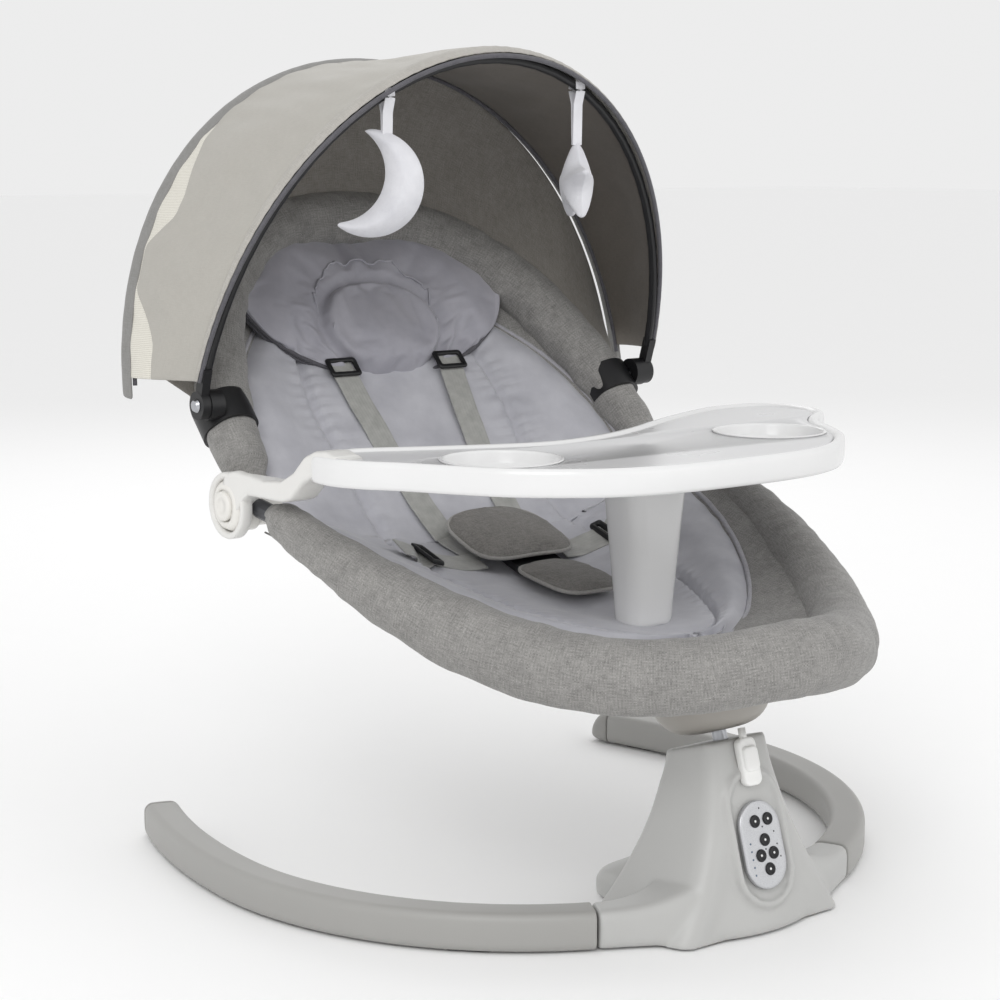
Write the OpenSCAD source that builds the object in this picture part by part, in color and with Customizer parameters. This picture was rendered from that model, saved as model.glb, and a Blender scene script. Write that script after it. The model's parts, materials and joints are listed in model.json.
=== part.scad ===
/* [Base] */
// Outer radius of the curved leg ring
ring_r = 306; // [290:1:320]
// Width of a leg, seen from above
leg_w = 31; // [26:1:34]
// Height of a leg above the floor pads
leg_h = 31; // [26:1:34]
// Distance from the drive tower to the centre of the leg ring
ring_y = 255; // [245:1:262]
// Radius of the straighter rear run of each leg
rear_r = 575; // [480:5:700]
// Y of the leg ends
leg_end_y = 436; // [420:1:445]
// Wall of the moulded base parts
wall = 3; // [2.5:0.5:3.5]

/* [Drive tower] */
// Height of the tower at its front edge
tower_h = 150; // [148:1:152]
// Lean of the swing axis, back from upright
swing_tilt = 20; // [18:0.5:22]
// Lean of the front face, back from upright
face_tilt = 17.3; // [16:0.1:18]
// Radius of the steel swing spindle
spindle_r = 6; // [5:0.5:7]
// Travel of a control button
button_travel = 0.8; // [0.5:0.1:1]
// Length of the control panel
panel_len = 69; // [60:1:74]
// Width of the control panel
panel_w = 42; // [38:1:46]

/* [Seat] */
// Half width of the seat frame at the recline hubs
rail_w = 232; // [226:1:236]
// Y of the recline hinge
hub_y = 327; // [322:1:332]
// Height of the recline hinge
hub_z = 311; // [306:1:316]
// Slope of the backrest in its upright position
recline = 46; // [44:0.5:48]
// Length of the backrest frame from the hinge
back_len = 318; // [300:1:325]
// Radius of the frame tubes
tube_r = 8; // [7:0.5:9]
// Radius of the padded rim at the foot end
rim_r = 29; // [26:1:31]

/* [Canopy] */
// Y of the canopy pivots
pivot_y = 375; // [372:1:378]
// Height of the canopy pivots
pivot_z = 390; // [387:1:393]
// Reach of the front bow above its pivots
bow_reach = 304; // [300:1:308]
// Half width of the front bow
bow_w = 246; // [244:1:248]
// Angle of the front bow, from horizontal at the rear
bow_angle = 107.5; // [106:0.5:109]

/* [Tray] */
// Height of the tray top
tray_z = 369; // [366:1:372]
// Depth of the tray rim
tray_h = 22; // [20:1:24]
// Radius of the cup recesses
cup_r = 45; // [40:1:46]

/* [Hidden] */

foot_h = 1.5;                // rubber pads lift the base by this much
seam_half = 26;              // half angle of the housing on the leg ring
run = 0.05;                  // radial clearance of a running fit
eps = 0.01;
axis_y = -5;                 // the swing axis crosses the tower top here
axis_z = 146;
face_y = -76;                // front face meets the floor here
panel_v = 72;                // panel centre, measured up the front face
inlet_z = 9;                 // height of the power inlet, in the end of the rear foot
rail_c = 245;                // centre of the seat frame's plan curve
rail_a = 340;                // its reach towards the feet
rail_e = 1.65;               // its squareness
back_e = 2.3;
clamp_s = 90;                // canopy clamps, along the backrest rail
hub_r = 22.5;
tray_ring_x = [242, 252.5];  // the tray arm's ring turns on the outer end of the left hub
hoop_base = [447, 385];      // rear hoop of the canopy, foot and crown as [y, z]
hoop_top = [493, 685];
hoop_w = 272;
hood_r = 309;                // inner radius of the front hem sleeve
moon_x = -110;
star_x = 92;

// ---------- shared functions ----------

function unit(v) = v / norm(v);
function curve_x(w, e, t) = w * pow(abs(cos(t)), 2 / e) * sign(cos(t));
function curve_h(h, e, t) = h * pow(abs(sin(t)), 2 / e);
function ease(u) = u * u * (3 - 2 * u);
function mix(a, b, u) = a * (1 - u) + b * u;

// Height of the seat rail at a given y: a low point ahead of the tower, rising to the hubs
rail_low = 214;
function rail_z(y) = y > -30
    ? rail_low + (hub_z - rail_low) * ease(min(1, (y + 30) / (hub_y + 30)))
    : rail_low + 12 * pow((-30 - y) / 65, 2);

// Half width of the seat rail at a given y
function rail_x(y) = rail_w * pow(max(0, 1 - pow(max(0, (rail_c - y)) / rail_a, rail_e)), 1 / rail_e);

// Point on the seat rail, t from 0 to 180 round the foot end
function rail_point(t) = let (y = rail_c - curve_h(rail_a, rail_e, t)) [curve_x(rail_w, rail_e, t), y, rail_z(y)];

// Point in the backrest's own plane: x across, s up the back, d out of it towards the baby
function back_point(x, s, d) =
    [x, hub_y + s * cos(recline) - d * sin(recline), hub_z + s * sin(recline) + d * cos(recline)];
function back_rail(t) = back_point(curve_x(220, back_e, t), curve_h(back_len, back_e, t), 0);
function back_x(s) = 220 * pow(max(0, 1 - pow(max(0, s) / back_len, back_e)), 1 / back_e);

// Point on a plane that fans out from the canopy pivots
function fan_point(x, r, phi) = [x, pivot_y + r * cos(phi), pivot_z + r * sin(phi)];
function fan_arch(w, r, phi, t) = fan_point(w * cos(t), r * sin(t), phi);
function hoop_arch(w, t) = let (h = pow(sin(t), 0.95))
    [w * cos(t), mix(hoop_base[0], hoop_top[0], h), mix(hoop_base[1], hoop_top[1], h)];

// Liner top surface of the seat along the middle, and how it lifts towards the rails
function floor_z(y) = 217 + 33 * pow(max(0, (y - 60) / 240), 1.6) + 10 * pow(max(0, (40 - y) / 100), 2);
function inner_x(y) = (rail_w - 32) * pow(max(0, 1 - pow(max(0, rail_c - y) / (rail_a - 32), rail_e)), 1 / rail_e);
function seat_point(y, u, drop) = let (half = inner_x(y))
    [u * half, y, floor_z(y) - drop + (rail_z(y) - floor_z(y) + 8) * pow(abs(u), 3)];

// ---------- shared modules ----------

module mirrored() {
    children();
    mirror([1, 0, 0]) children();
}

// Closed solid between two grids of points with the same rows and columns
module skin(a, b) {
    rows = len(a);
    cols = len(a[0]);
    n = rows * cols;
    pts = concat([for (r = a) for (p = r) p], [for (r = b) for (p = r) p]);
    cells = [for (i = [0 : rows - 2]) for (j = [0 : cols - 2]) [i * cols + j, (i + 1) * cols + j]];
    edge = concat([for (j = [0 : cols - 2]) [j, j + 1]],
        [for (i = [0 : rows - 2]) [i * cols + cols - 1, (i + 1) * cols + cols - 1]],
        [for (j = [cols - 1 : -1 : 1]) [(rows - 1) * cols + j, (rows - 1) * cols + j - 1]],
        [for (i = [rows - 1 : -1 : 1]) [i * cols, (i - 1) * cols]]);
    polyhedron(pts, concat(
        [for (c = cells) [c[0], c[1], c[1] + 1]],
        [for (c = cells) [c[0], c[1] + 1, c[0] + 1]],
        [for (c = cells) [n + c[0], n + c[1] + 1, n + c[1]]],
        [for (c = cells) [n + c[0], n + c[0] + 1, n + c[1] + 1]],
        [for (e = edge) [e[0], e[1], n + e[1]]],
        [for (e = edge) [e[0], n + e[1], n + e[0]]]), convexity = 6);
}

// Rings of points round a path, with a radius at each point; up is a rough normal to the path's plane
function rings(path, radii, up, sides) = [for (i = [0 : len(path) - 1])
    let (t = unit(path[min(i + 1, len(path) - 1)] - path[max(i - 1, 0)]), s = unit(cross(t, up)), u = cross(s, t))
    for (k = [0 : sides - 1]) path[i] + radii[i] * (cos(360 * k / sides) * s + sin(360 * k / sides) * u)];
function wall_faces(m, sides, base) = [for (i = [0 : m - 2]) for (k = [0 : sides - 1])
    let (q = (k + 1) % sides, a = base + i * sides, b = a + sides) each [[a + k, b + k, b + q], [a + k, b + q, a + q]]];
function flipped(faces) = [for (f = faces) [f[0], f[2], f[1]]];

// Rod swept along a path
module sweep(path, radii, up, sides = 12) {
    m = len(path);
    polyhedron(rings(path, radii, up, sides), concat(
        [[for (k = [0 : sides - 1]) k]],
        [[for (k = [sides - 1 : -1 : 0]) (m - 1) * sides + k]],
        wall_faces(m, sides, 0)), convexity = 6);
}

// Padded sleeve swept along a path, with a hole of radius bore all the way
module sleeve(path, radii, bore, up, sides = 16) {
    m = len(path);
    n = m * sides;
    last = (m - 1) * sides;
    polyhedron(concat(rings(path, radii, up, sides), rings(path, [for (p = path) bore], up, sides)), concat(
        wall_faces(m, sides, 0),
        flipped(wall_faces(m, sides, n)),
        [for (k = [0 : sides - 1]) let (q = (k + 1) % sides) each [[k, q, n + q], [k, n + q, n + k]]],
        [for (k = [0 : sides - 1]) let (q = (k + 1) % sides)
            each [[last + k, n + last + q, last + q], [last + k, n + last + k, n + last + q]]]), convexity = 6);
}

module pill(l, w) {
    square([w, l - w], center = true);
    for (s = [-1, 1]) translate([0, s * (l - w) / 2]) circle(d = w, $fn = 48);
}

module round_box(w, h, r) {
    square([w - 2 * r, h], center = true);
    square([w, h - 2 * r], center = true);
    for (x = [-1, 1]) for (y = [-1, 1]) translate([x * (w / 2 - r), y * (h / 2 - r)]) circle(r = r, $fn = 32);
}

// Places children on the tower's front face: x across, y up the face, z outwards
module on_face() {
    translate([0, face_y, 0]) rotate([90 - face_tilt, 0, 0]) children();
}

// Places children on the swing axis, z along it
module on_axis() {
    translate([0, axis_y, axis_z]) rotate([-swing_tilt, 0, 0]) children();
}

module along_x(x0, x1, y, z, r) {
    translate([x0, y, z]) rotate([0, 90, 0]) cylinder(h = x1 - x0, r = r, $fn = 64);
}

// ---------- base ----------

module tower_stage(low, high) {
    hull() for (s = [low, high]) for (x = [-1, 1]) {
        translate([x * (s[0] - s[5]), s[1] + s[5], s[3]]) cylinder(h = 1, r = s[5], $fn = 32);
        translate([x * (s[0] - s[5]), s[2] - s[5], s[4]]) cylinder(h = 1, r = s[5], $fn = 32);
    }
}

// Tower sections: half width, front y, rear y, front z, rear z, corner radius
tower_sections = [[86, -75, 32, foot_h, foot_h, 20], [64, -65, 27, 34, 34, 18],
    [43, -56, 23, 64, 64, 16], [29, -29.5, 17, tower_h - 2, tower_h - 19, 11]];

module tower_body(inset) {
    s = [for (v = tower_sections) [v[0] - inset, v[1] + inset, v[2] - inset, v[3] - inset, v[4] - inset, v[5] - inset]];
    for (i = [0 : 2]) tower_stage(s[i], s[i + 1]);
}

// Low foot behind the tower; it keeps the base from tipping back
module rear_foot() {
    hull() for (x = [-1, 1]) {
        translate([x * 41, 72, foot_h]) cylinder(h = 17, r = 16, $fn = 32);
        translate([x * 38, 66, foot_h]) cylinder(h = 27, r = 14, $fn = 32);
        translate([x * 32, 10, foot_h]) cylinder(h = 58, r = 9, $fn = 32);
    }
}

module ring_section() {
    translate([ring_r - leg_w / 2, foot_h + leg_h / 2]) round_box(leg_w, leg_h, 8);
}

module housing() {
    color("#bdbdbb") difference() {
        union() {
            tower_body(0);
            rear_foot();
            translate([0, ring_y, 0]) rotate([0, 0, 270 - seam_half]) rotate_extrude(angle = 2 * seam_half, $fn = 180)
                ring_section();
        }
        tower_body(wall);
        translate([-60, -60, -1]) cube([120, 80, foot_h + 4]);
        translate([-48, 16, -1]) cube([96, 62, 18]);
        on_axis() translate([0, 0, -30]) cylinder(h = 60, r = 17, $fn = 64);
        on_face() translate([0, panel_v, -12]) linear_extrude(30) pill(panel_len - 6, panel_w - 6);
        on_face() translate([-6, 112, -12]) cube([12, 70, 14]);
        translate([0, 92, inlet_z]) rotate([90, 0, 0]) cylinder(h = 30, r = 4.2, $fn = 48);
    }
}

module base_plate() {
    color("#8a8a88") difference() {
        translate([-59.5, -59.5, foot_h]) cube([119, 79, 3]);
        for (x = [-50, 50]) for (y = [-50, 10]) translate([x, y, 0]) cylinder(h = 9, r = 1.8, $fn = 32);
    }
}

module rubber_feet() {
    color("#3a3a3a") {
        translate([0, -18, 0]) linear_extrude(foot_h) round_box(90, 56, 6);
        mirrored() {
            for (a = [-45, -5]) translate([0, ring_y, 0]) rotate([0, 0, a])
                translate([ring_r - leg_w / 2, 0, 0]) linear_extrude(foot_h) pill(40, 14);
            translate([ring_r - rear_r, ring_y, 0]) rotate([0, 0, 15])
                translate([rear_r - leg_w / 2, 0, 0]) linear_extrude(foot_h) pill(36, 14);
        }
    }
}

// Angle at which the rear run of a leg reaches the leg's end
rear_turn = asin((leg_end_y - ring_y) / rear_r);

module leg_shape() {
    translate([0, ring_y, 0]) rotate([0, 0, seam_half - 90]) rotate_extrude(angle = 90 - seam_half, $fn = 180)
        difference() {
            ring_section();
            translate([ring_r - leg_w / 2, foot_h + leg_h / 2]) round_box(leg_w - 2 * wall, leg_h - 2 * wall, 5);
        }
    translate([ring_r - rear_r, ring_y, 0]) rotate_extrude(angle = rear_turn, $fn = 300)
        difference() {
            translate([rear_r - leg_w / 2, foot_h + leg_h / 2]) round_box(leg_w, leg_h, 8);
            translate([rear_r - leg_w / 2, foot_h + leg_h / 2]) round_box(leg_w - 2 * wall, leg_h - 2 * wall, 5);
        }
    translate([ring_r - leg_w / 2, ring_y + 4, foot_h + leg_h / 2]) rotate([90, 0, 0])
        linear_extrude(8) round_box(leg_w - wall, leg_h - wall, 6);
}

module leg_left() {
    color("#a9a8a5") mirror([1, 0, 0]) leg_shape();
}

module leg_right() {
    color("#a9a8a5") leg_shape();
}

module leg_caps() {
    color("#9f9e9b") mirrored() translate([ring_r - rear_r, ring_y, 0]) rotate([0, 0, rear_turn])
        translate([rear_r - leg_w / 2, 0, foot_h + leg_h / 2]) hull() {
            rotate([90, 0, 0]) linear_extrude(0.5) round_box(leg_w, leg_h, 8);
            translate([0, 12, -2]) rotate([90, 0, 0]) linear_extrude(1) round_box(leg_w - 3, leg_h - 5, 8);
            translate([0, 20, -5]) rotate([90, 0, 0]) linear_extrude(1) round_box(leg_w - 12, leg_h - 16, 5);
        }
}

module base_screws() {
    color("silver") for (x = [-50, 50]) for (y = [-50, 10]) translate([x, y, foot_h + 1]) {
        translate([0, 0, 2 + eps]) cylinder(h = 2, r = 3.4, $fn = 32);
        cylinder(h = 2.5, r = 1.5, $fn = 32);
    }
}

module bearing_block() {
    color("#d8d8d6") on_axis() difference() {
        union() {
            translate([0, 0, -52]) cylinder(h = 45, r = 14.5, $fn = 64);
            translate([-33.5, -5, -46]) cube([67, 10, 8]);
        }
        translate([0, 0, -53]) cylinder(h = 60, r = 8, $fn = 64);
        translate([0, 0, -53]) cylinder(h = 7, r = 11, $fn = 64);
        translate([0, 0, -13]) cylinder(h = 7, r = 11, $fn = 64);
    }
}

module spindle_bearings() {
    color("silver") on_axis() for (z = [-52, -13]) translate([0, 0, z]) difference() {
        cylinder(h = 6, r = 11, $fn = 64);
        translate([0, 0, -1]) cylinder(h = 8, r = spindle_r + run, $fn = 64);
    }
}

module drive_coil() {
    color("peru") on_axis() translate([0, 20, -84]) difference() {
        cylinder(h = 10, r = 12, $fn = 48);
        translate([0, 0, -1]) cylinder(h = 12, r = 4, $fn = 48);
    }
}

module circuit_board() {
    color("seagreen") on_face() translate([-15, panel_v - 30, -9]) cube([30, 60, 1.6]);
}

module dc_inlet() {
    color("#222222") translate([0, 92, inlet_z]) rotate([90, 0, 0]) difference() {
        union() {
            cylinder(h = 14, r = 4.2, $fn = 48);
            translate([0, 0, 2]) cylinder(h = 2, r = 6, $fn = 48);
        }
        translate([0, 0, -1]) cylinder(h = 10, r = 2.8, $fn = 48);
    }
}

button_places = [[-4.7, 18.7], [8.7, 18.7], [2, 3.3], [-4.7, -8], [8.7, -8], [2, -19.5]];
led_places = [for (i = [0 : 4]) [-13.4, 2.5 - 6.1 * i]];
button_r = 3.9;

module panel_bezel() {
    color("silver") on_face() translate([0, panel_v, -3]) difference() {
        union() {
            linear_extrude(5.4) pill(panel_len - 6.6, panel_w - 6.6);
            translate([0, 0, 3.4]) linear_extrude(2) pill(panel_len, panel_w);
        }
        for (p = button_places) translate([p[0], p[1], -1]) cylinder(h = 9, r = button_r + 0.15, $fn = 48);
        for (p = led_places) translate([p[0], p[1], -1]) cylinder(h = 9, r = 0.9, $fn = 24);
    }
}

module panel_leds() {
    color("#8fb8d8") on_face() translate([0, panel_v, 0]) for (p = led_places)
        translate([p[0], p[1], 0]) cylinder(h = 2.6, r = 0.85, $fn = 24);
}

module panel_button(i) {
    color("#1c1c1e") on_face() translate([button_places[i][0], button_places[i][1] + panel_v, 0]) {
        cylinder(h = 2.6, r = button_r, $fn = 48);
        translate([0, 0, 2.6]) cylinder(h = 0.8, r1 = button_r, r2 = button_r - 0.8, $fn = 48);
    }
}

module button_power() panel_button(0);
module button_timer() panel_button(1);
module button_music() panel_button(2);
module button_volume() panel_button(3);
module button_slower() panel_button(4);
module button_faster() panel_button(5);

// Thumb piece on the front face with a pin that stands up into the swing head's groove
module lock_slider() {
    color("#f2f2f0") on_face() {
        translate([0, 136, 0.4]) linear_extrude(5) round_box(18, 36, 5);
        translate([0, 142, 5.4]) linear_extrude(2) round_box(14, 16, 4);
        translate([-4, 124, -3.6]) cube([8, 24, 4.2]);
        translate([0, 144, -1]) rotate([-90, 0, 0]) cylinder(h = 20, r = 3, $fn = 32);
    }
}

// ---------- swinging seat ----------

module swing_head() {
    color("#a29e98") difference() {
        on_axis() rotate_extrude($fn = 96)
            polygon([[0, 4], [24, 4], [30, 5.5], [36, 10], [41, 17], [44, 26], [43, 36], [39, 46], [0, 46]]);
        translate([-60, -60, 190]) cube([120, 140, 60]);
        on_axis() translate([0, 0, -1]) cylinder(h = 25, r = spindle_r, $fn = 64);
        on_axis() rotate([0, 0, -90 - 26]) rotate_extrude(angle = 52, $fn = 96)
            translate([19, 4 - eps]) square([13, 8]);
    }
}

module spindle() {
    color("lightgray") on_axis() {
        translate([0, 0, -64]) cylinder(h = 87, r = spindle_r, $fn = 64);
        translate([-6, 0, -64]) cube([12, 30, 5]);
    }
}

module drive_magnet() {
    color("#555555") on_axis() translate([0, 20, -70]) cylinder(h = 6 - eps, r = 9, $fn = 48);
}

// Cross shaped steel carrier bolted to the swing head, with its arms bent up to the frame tube
module seat_cradle() {
    y_side = 60;
    x_side = rail_x(y_side);
    z_side = rail_z(y_side) - tube_r;
    y_tip = rail_c - rail_a;
    z_tip = rail_z(y_tip) - tube_r;
    color("#777777") {
        translate([0, y_side + 16, 0]) rotate([90, 0, 0]) linear_extrude(32) polygon([
            [-x_side - 6, z_side], [-x_side + 30, z_side - 22], [-60, 190], [60, 190],
            [x_side - 30, z_side - 22], [x_side + 6, z_side], [x_side - 6, z_side],
            [x_side - 32, z_side - 17], [60, 193], [-60, 193], [-x_side + 32, z_side - 17], [-x_side + 6, z_side]]);
        translate([-16, 0, 0]) rotate([90, 0, 90]) linear_extrude(32) polygon([
            [y_tip - 5, z_tip], [y_tip + 14, z_tip - 12], [-40, 190], [60, 190], [60, 193], [-38, 193],
            [y_tip + 16, z_tip - 8], [y_tip + 5, z_tip]]);
        translate([0, 10, 190]) cylinder(h = 3, r = 30, $fn = 64);
    }
}

module front_tube() {
    steps = 44;
    path = concat([[rail_w, hub_y - 19.3, rail_z(hub_y - 19.3)], [rail_w, hub_y - 45, rail_z(hub_y - 45)]],
        [for (i = [1 : steps - 1]) rail_point(180 * i / steps)],
        [[-rail_w, hub_y - 45, rail_z(hub_y - 45)], [-rail_w, hub_y - 19.3, rail_z(hub_y - 19.3)]]);
    color("dimgray") sweep(path, [for (p = path) tube_r], [0, 0, 1]);
}

module hub_housings() {
    color("#ecebe8") mirrored() difference() {
        along_x(228, 254, hub_y, hub_z, hub_r);
        along_x(246, 255, hub_y, hub_z, 13);
        along_x(227, 244, hub_y, hub_z, 4);
    }
}

module hub_pins() {
    color("silver") mirrored() along_x(207, 243.5, hub_y, hub_z, 4);
}

module release_button() {
    color("#f4f3f0") {
        along_x(249.5, 254.5, hub_y, hub_z, 12.7);
        translate([254.5, hub_y, hub_z]) rotate([0, 90, 0]) cylinder(h = 2.5, r1 = 12.7, r2 = 10.5, $fn = 64);
    }
}

module release_left() mirror([1, 0, 0]) release_button();
module release_right() release_button();

// Padded rim round the frame tube, thin at the hubs and fat at the foot end
function rim_radius(y) = mix(rim_r, 15, ease(min(1, max(0, (y - 40) / (hub_y - 60)))));

module front_rim_cover() {
    steps = 40;
    path = concat([[rail_w, hub_y - 52, rail_z(hub_y - 52)]], [for (i = [1.5 : steps - 1.5]) rail_point(180 * i / steps)],
        [[-rail_w, hub_y - 52, rail_z(hub_y - 52)]]);
    color("#8f8e8c") sleeve(path, [for (p = path) rim_radius(p[1])], tube_r + 1.2, [0, 0, 1]);
}

seat_rows = [for (i = [0 : 15]) -47 + i * 22.2];
seat_cols = [for (j = [-8 : 8]) j / 8];
module seat_layer(from, to) {
    skin([for (y = seat_rows) [for (u = seat_cols) seat_point(y, u * 0.97, from)]],
        [for (y = seat_rows) [for (u = seat_cols) seat_point(y, u * 0.97, to)]]);
}

module seat_liner() {
    color("#c5c4cc") seat_layer(0, 11);
}

module seat_sling() {
    color("#8f8e8c") seat_layer(11.3, 14.5);
}

// Lower skin of the seat: hangs from the rim and closes round the swing head
function under_z(y, u) = let (mid = 183 + 40 * pow(max(0, (y - 70) / 200), 1.4) + 6 * pow(max(0, (-20 - y) / 50), 2))
    mix(mid, rail_z(y) - rim_radius(y) - 0.5, pow(abs(u), 2.2));
module under_cover() {
    rows = [for (i = [0 : 14]) -66 + i * 23];
    color("#858482") difference() {
        skin([for (y = rows) [for (u = seat_cols) [u * (rail_x(y) - 8), y, under_z(y, u)]]],
            [for (y = rows) [for (u = seat_cols) [u * (rail_x(y) - 8), y, under_z(y, u) - 3]]]);
        translate([0, 12, 150]) cylinder(h = 60, r = 51, $fn = 64);
    }
}

// Waist straps run from the seat's sides to the harness pad
module waist_straps() {
    color("#a9a9a6") mirrored() translate([0, 236, floor_z(250) + 10]) rotate([0, -9, 0]) {
        translate([52, 0, 0]) cube([62, 23, 1.6]);
    }
}

module waist_slides() {
    color("#1b1b1c") mirrored() translate([0, 236, floor_z(250) + 10]) rotate([0, -9, 0]) difference() {
        translate([92, -4, 1.8]) cube([16, 31, 3]);
        translate([95, -1.5, 0]) cube([3.5, 26, 8]);
        translate([101.5, -1.5, 0]) cube([3.5, 26, 8]);
    }
}

// Crotch pad rises from the seat, the big pad lies over the buckle
module harness_pads() {
    color("#7d7a76") {
        translate([0, 232, floor_z(250) + 16]) rotate([18, 0, 0]) linear_extrude(9) round_box(96, 76, 20);
        translate([0, 150, floor_z(150) + 2.5]) rotate([8, 0, 0]) linear_extrude(8) round_box(58, 74, 14);
    }
}

module harness_buckle() {
    color("#2a2a2b") translate([0, 236, floor_z(250) + 7.5]) rotate([18, 0, 0]) linear_extrude(6) round_box(50, 42, 8);
}

// ---------- backrest ----------

module back_tube() {
    path = concat([for (i = [1 : 43]) back_rail(i * 180 / 44)]);
    color("dimgray") sweep(concat([back_point(220, 14, 0)], path, [back_point(-220, 14, 0)]),
        [for (i = [0 : len(path) + 1]) tube_r], back_point(0, 0, 1) - back_point(0, 0, 0));
}

module hub_discs() {
    color("#e2e1de") mirrored() difference() {
        along_x(208, 227.7, hub_y, hub_z, 19);
        along_x(207, 229, hub_y, hub_z, 4 + run);
    }
}

function back_rim_radius(s) = mix(19, 25, ease(min(1, max(0, s / 200))));

module back_rim_cover() {
    ts = [for (i = [7.5 : 3 : 172.5]) i];
    path = [for (t = ts) back_rail(t)];
    up = back_point(0, 0, 1) - back_point(0, 0, 0);
    color("#8f8e8c") sleeve(path, [for (t = ts) back_rim_radius(curve_h(back_len, back_e, t))], tube_r + 0.5, up);
}

// Padded backrest surface: hollow along the middle, rising to the side rails
function back_surface(s, u, drop) = let (half = back_x(s) - 22)
    back_point(u * half, s, -drop - 38 * (1 - pow(abs(u), 3)) * (1 - 0.45 * pow(max(0, s) / back_len, 3)));
back_rows = [for (i = [0 : 12]) 34 + i * 20];
module back_layer(from, to) {
    skin([for (s = back_rows) [for (u = seat_cols) back_surface(s, u * 0.84, from)]],
        [for (s = back_rows) [for (u = seat_cols) back_surface(s, u * 0.84, to)]]);
}

module back_liner() {
    color("#c5c4cc") back_layer(0, 12);
}

module back_sling() {
    color("#8f8e8c") back_layer(12.3, 16);
}

// Oval pad: a unit square of u, v pressed into a disc, thin at its edge
function pad_point(w, h, u, v, z) = [w * u * sqrt(1 - v * v / 2), h * v * sqrt(1 - u * u / 2), z];
module oval_pad(w, h, thick, sag) {
    k = [for (i = [-8 : 8]) i / 8];
    skin([for (v = k) [for (u = k) pad_point(w, h, u, v, thick * sqrt(1.05 - max(abs(u), abs(v))) + sag * u * u)]],
        [for (v = k) [for (u = k) pad_point(w, h, u, v, -4 + sag * u * u)]]);
}

module pillow() {
    color("#a9a8b0") translate(back_point(0, 0, 0)) rotate([recline, 0, 0]) translate([0, 215, -19])
        oval_pad(120, 70, 20, 22);
}

// Shoulder straps lie on the backrest liner and pass under the pillow
module shoulder_straps() {
    color("#a9a9a6") for (x = [-1, 1]) translate(back_point(0, 0, 0)) rotate([recline, 0, 0])
        translate([x * 42 - 11.5, 40, -34]) cube([23, 108, 1.6]);
}

module strap_adjusters() {
    color("#1b1b1c") for (x = [-1, 1]) translate(back_point(0, 0, 0)) rotate([recline, 0, 0])
        translate([x * 42, 128, -32.2]) linear_extrude(3) difference() {
            square([32, 18], center = true);
            square([25, 4], center = true);
        }
}

// Clamp round the padded side rail, open on its inner side, with an ear that holds the canopy pivot
module canopy_clamps() {
    color("#1e1e20") mirrored() difference() {
        union() {
            translate(back_point(back_x(clamp_s), clamp_s - 15, 0)) rotate([recline - 90, 0, 0])
                cylinder(h = 30, r = 25, $fn = 64);
            along_x(229, 242, pivot_y, pivot_z, 13);
        }
        translate(back_point(back_x(clamp_s), clamp_s - 40, 0)) rotate([recline - 90, 0, 0]) {
            cylinder(h = 80, r = 21.8, $fn = 64);
            translate([-40, 3, -1]) cube([34, 40, 90]);
        }
        along_x(228, 243, pivot_y, pivot_z, 3.5);
    }
}

module canopy_pins() {
    color("gainsboro") mirrored() {
        along_x(230, 250.5, pivot_y, pivot_z, 3.5);
        translate([250.5, pivot_y, pivot_z]) rotate([0, 90, 0]) cylinder(h = 2.5, r1 = 6, r2 = 4.5, $fn = 48);
    }
}

module rear_hoop() {
    path = [for (t = [0 : 5 : 180]) hoop_arch(hoop_w - 6, t) - [0, 2, 4]];
    color("#6f6e6c") sweep(path, [for (p = path) 3.5], [0, 1, -0.2]);
}

// Hood fabric held by the backrest, from just behind the front bow to the rear hoop
hood_cols = [for (j = [0 : 24]) 8 + j * 164 / 24];
function hood_row(k, gap) = k < 6
    ? [for (t = hood_cols) fan_arch(bow_w + 8 + gap + k * 2.2, hood_r + 4 + gap, 101 - k * 5, t)]
    : [for (t = hood_cols) hoop_arch(hoop_w + gap, t)];
module hood_shell() {
    color("#b5b2ab") skin([for (k = [0 : 6]) hood_row(k, 2.5)], [for (k = [0 : 6]) hood_row(k, 0)]);
}

// Closes the hood behind the head, from the rear hoop down to the backrest
function cap_point(v, t) =
    let (a = hoop_arch(hoop_w - 1, t) + [0, 9, 2], b = back_point(224 * cos(t), 62 + (back_len - 36) * sin(t), 32))
    mix(a, b, v) + [0, 22 * sin(180 * v) * sin(t), 0];
function cap_row(v, gap) = [for (t = hood_cols)
    let (across = cap_point(v + 0.01, t) - cap_point(v - 0.01, t), along = cap_point(v, t + 1) - cap_point(v, t - 1))
    cap_point(v, t) + gap * unit(cross(across, along))];
module rear_panel() {
    color("#8c8a86") skin([for (v = [0 : 0.2 : 1]) cap_row(v, 0)], [for (v = [0 : 0.2 : 1]) cap_row(v, 2.5)]);
}

// ---------- folding canopy ----------

module canopy_bow() {
    path = [for (t = [5 : 5 : 175]) fan_arch(bow_w, bow_reach, bow_angle, t)];
    color("#202022") sweep(path, [for (p = path) 4], [0, 1, 0.3]);
}

module bow_ends() {
    color("#1e1e20") mirrored() difference() {
        union() {
            along_x(242.4, 250.2, pivot_y, pivot_z, 12);
            translate([242.4, pivot_y, pivot_z]) rotate([bow_angle - 90, 0, 0]) translate([0, -5, 0]) cube([7.6, 10, 34]);
        }
        along_x(241, 252, pivot_y, pivot_z, 3.5 + run);
    }
}

module hood_hem() {
    phis = [109, 107.5, 105, 102.5];
    color("#a3a09b") skin([for (p = phis) [for (t = hood_cols) fan_arch(bow_w + 6.5, hood_r + 2.4, p, t)]],
        [for (p = phis) [for (t = hood_cols) fan_arch(bow_w + 4.6, hood_r, p, t)]]);
}

// ---------- toys, hung from the bow on ribbons ----------

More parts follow.
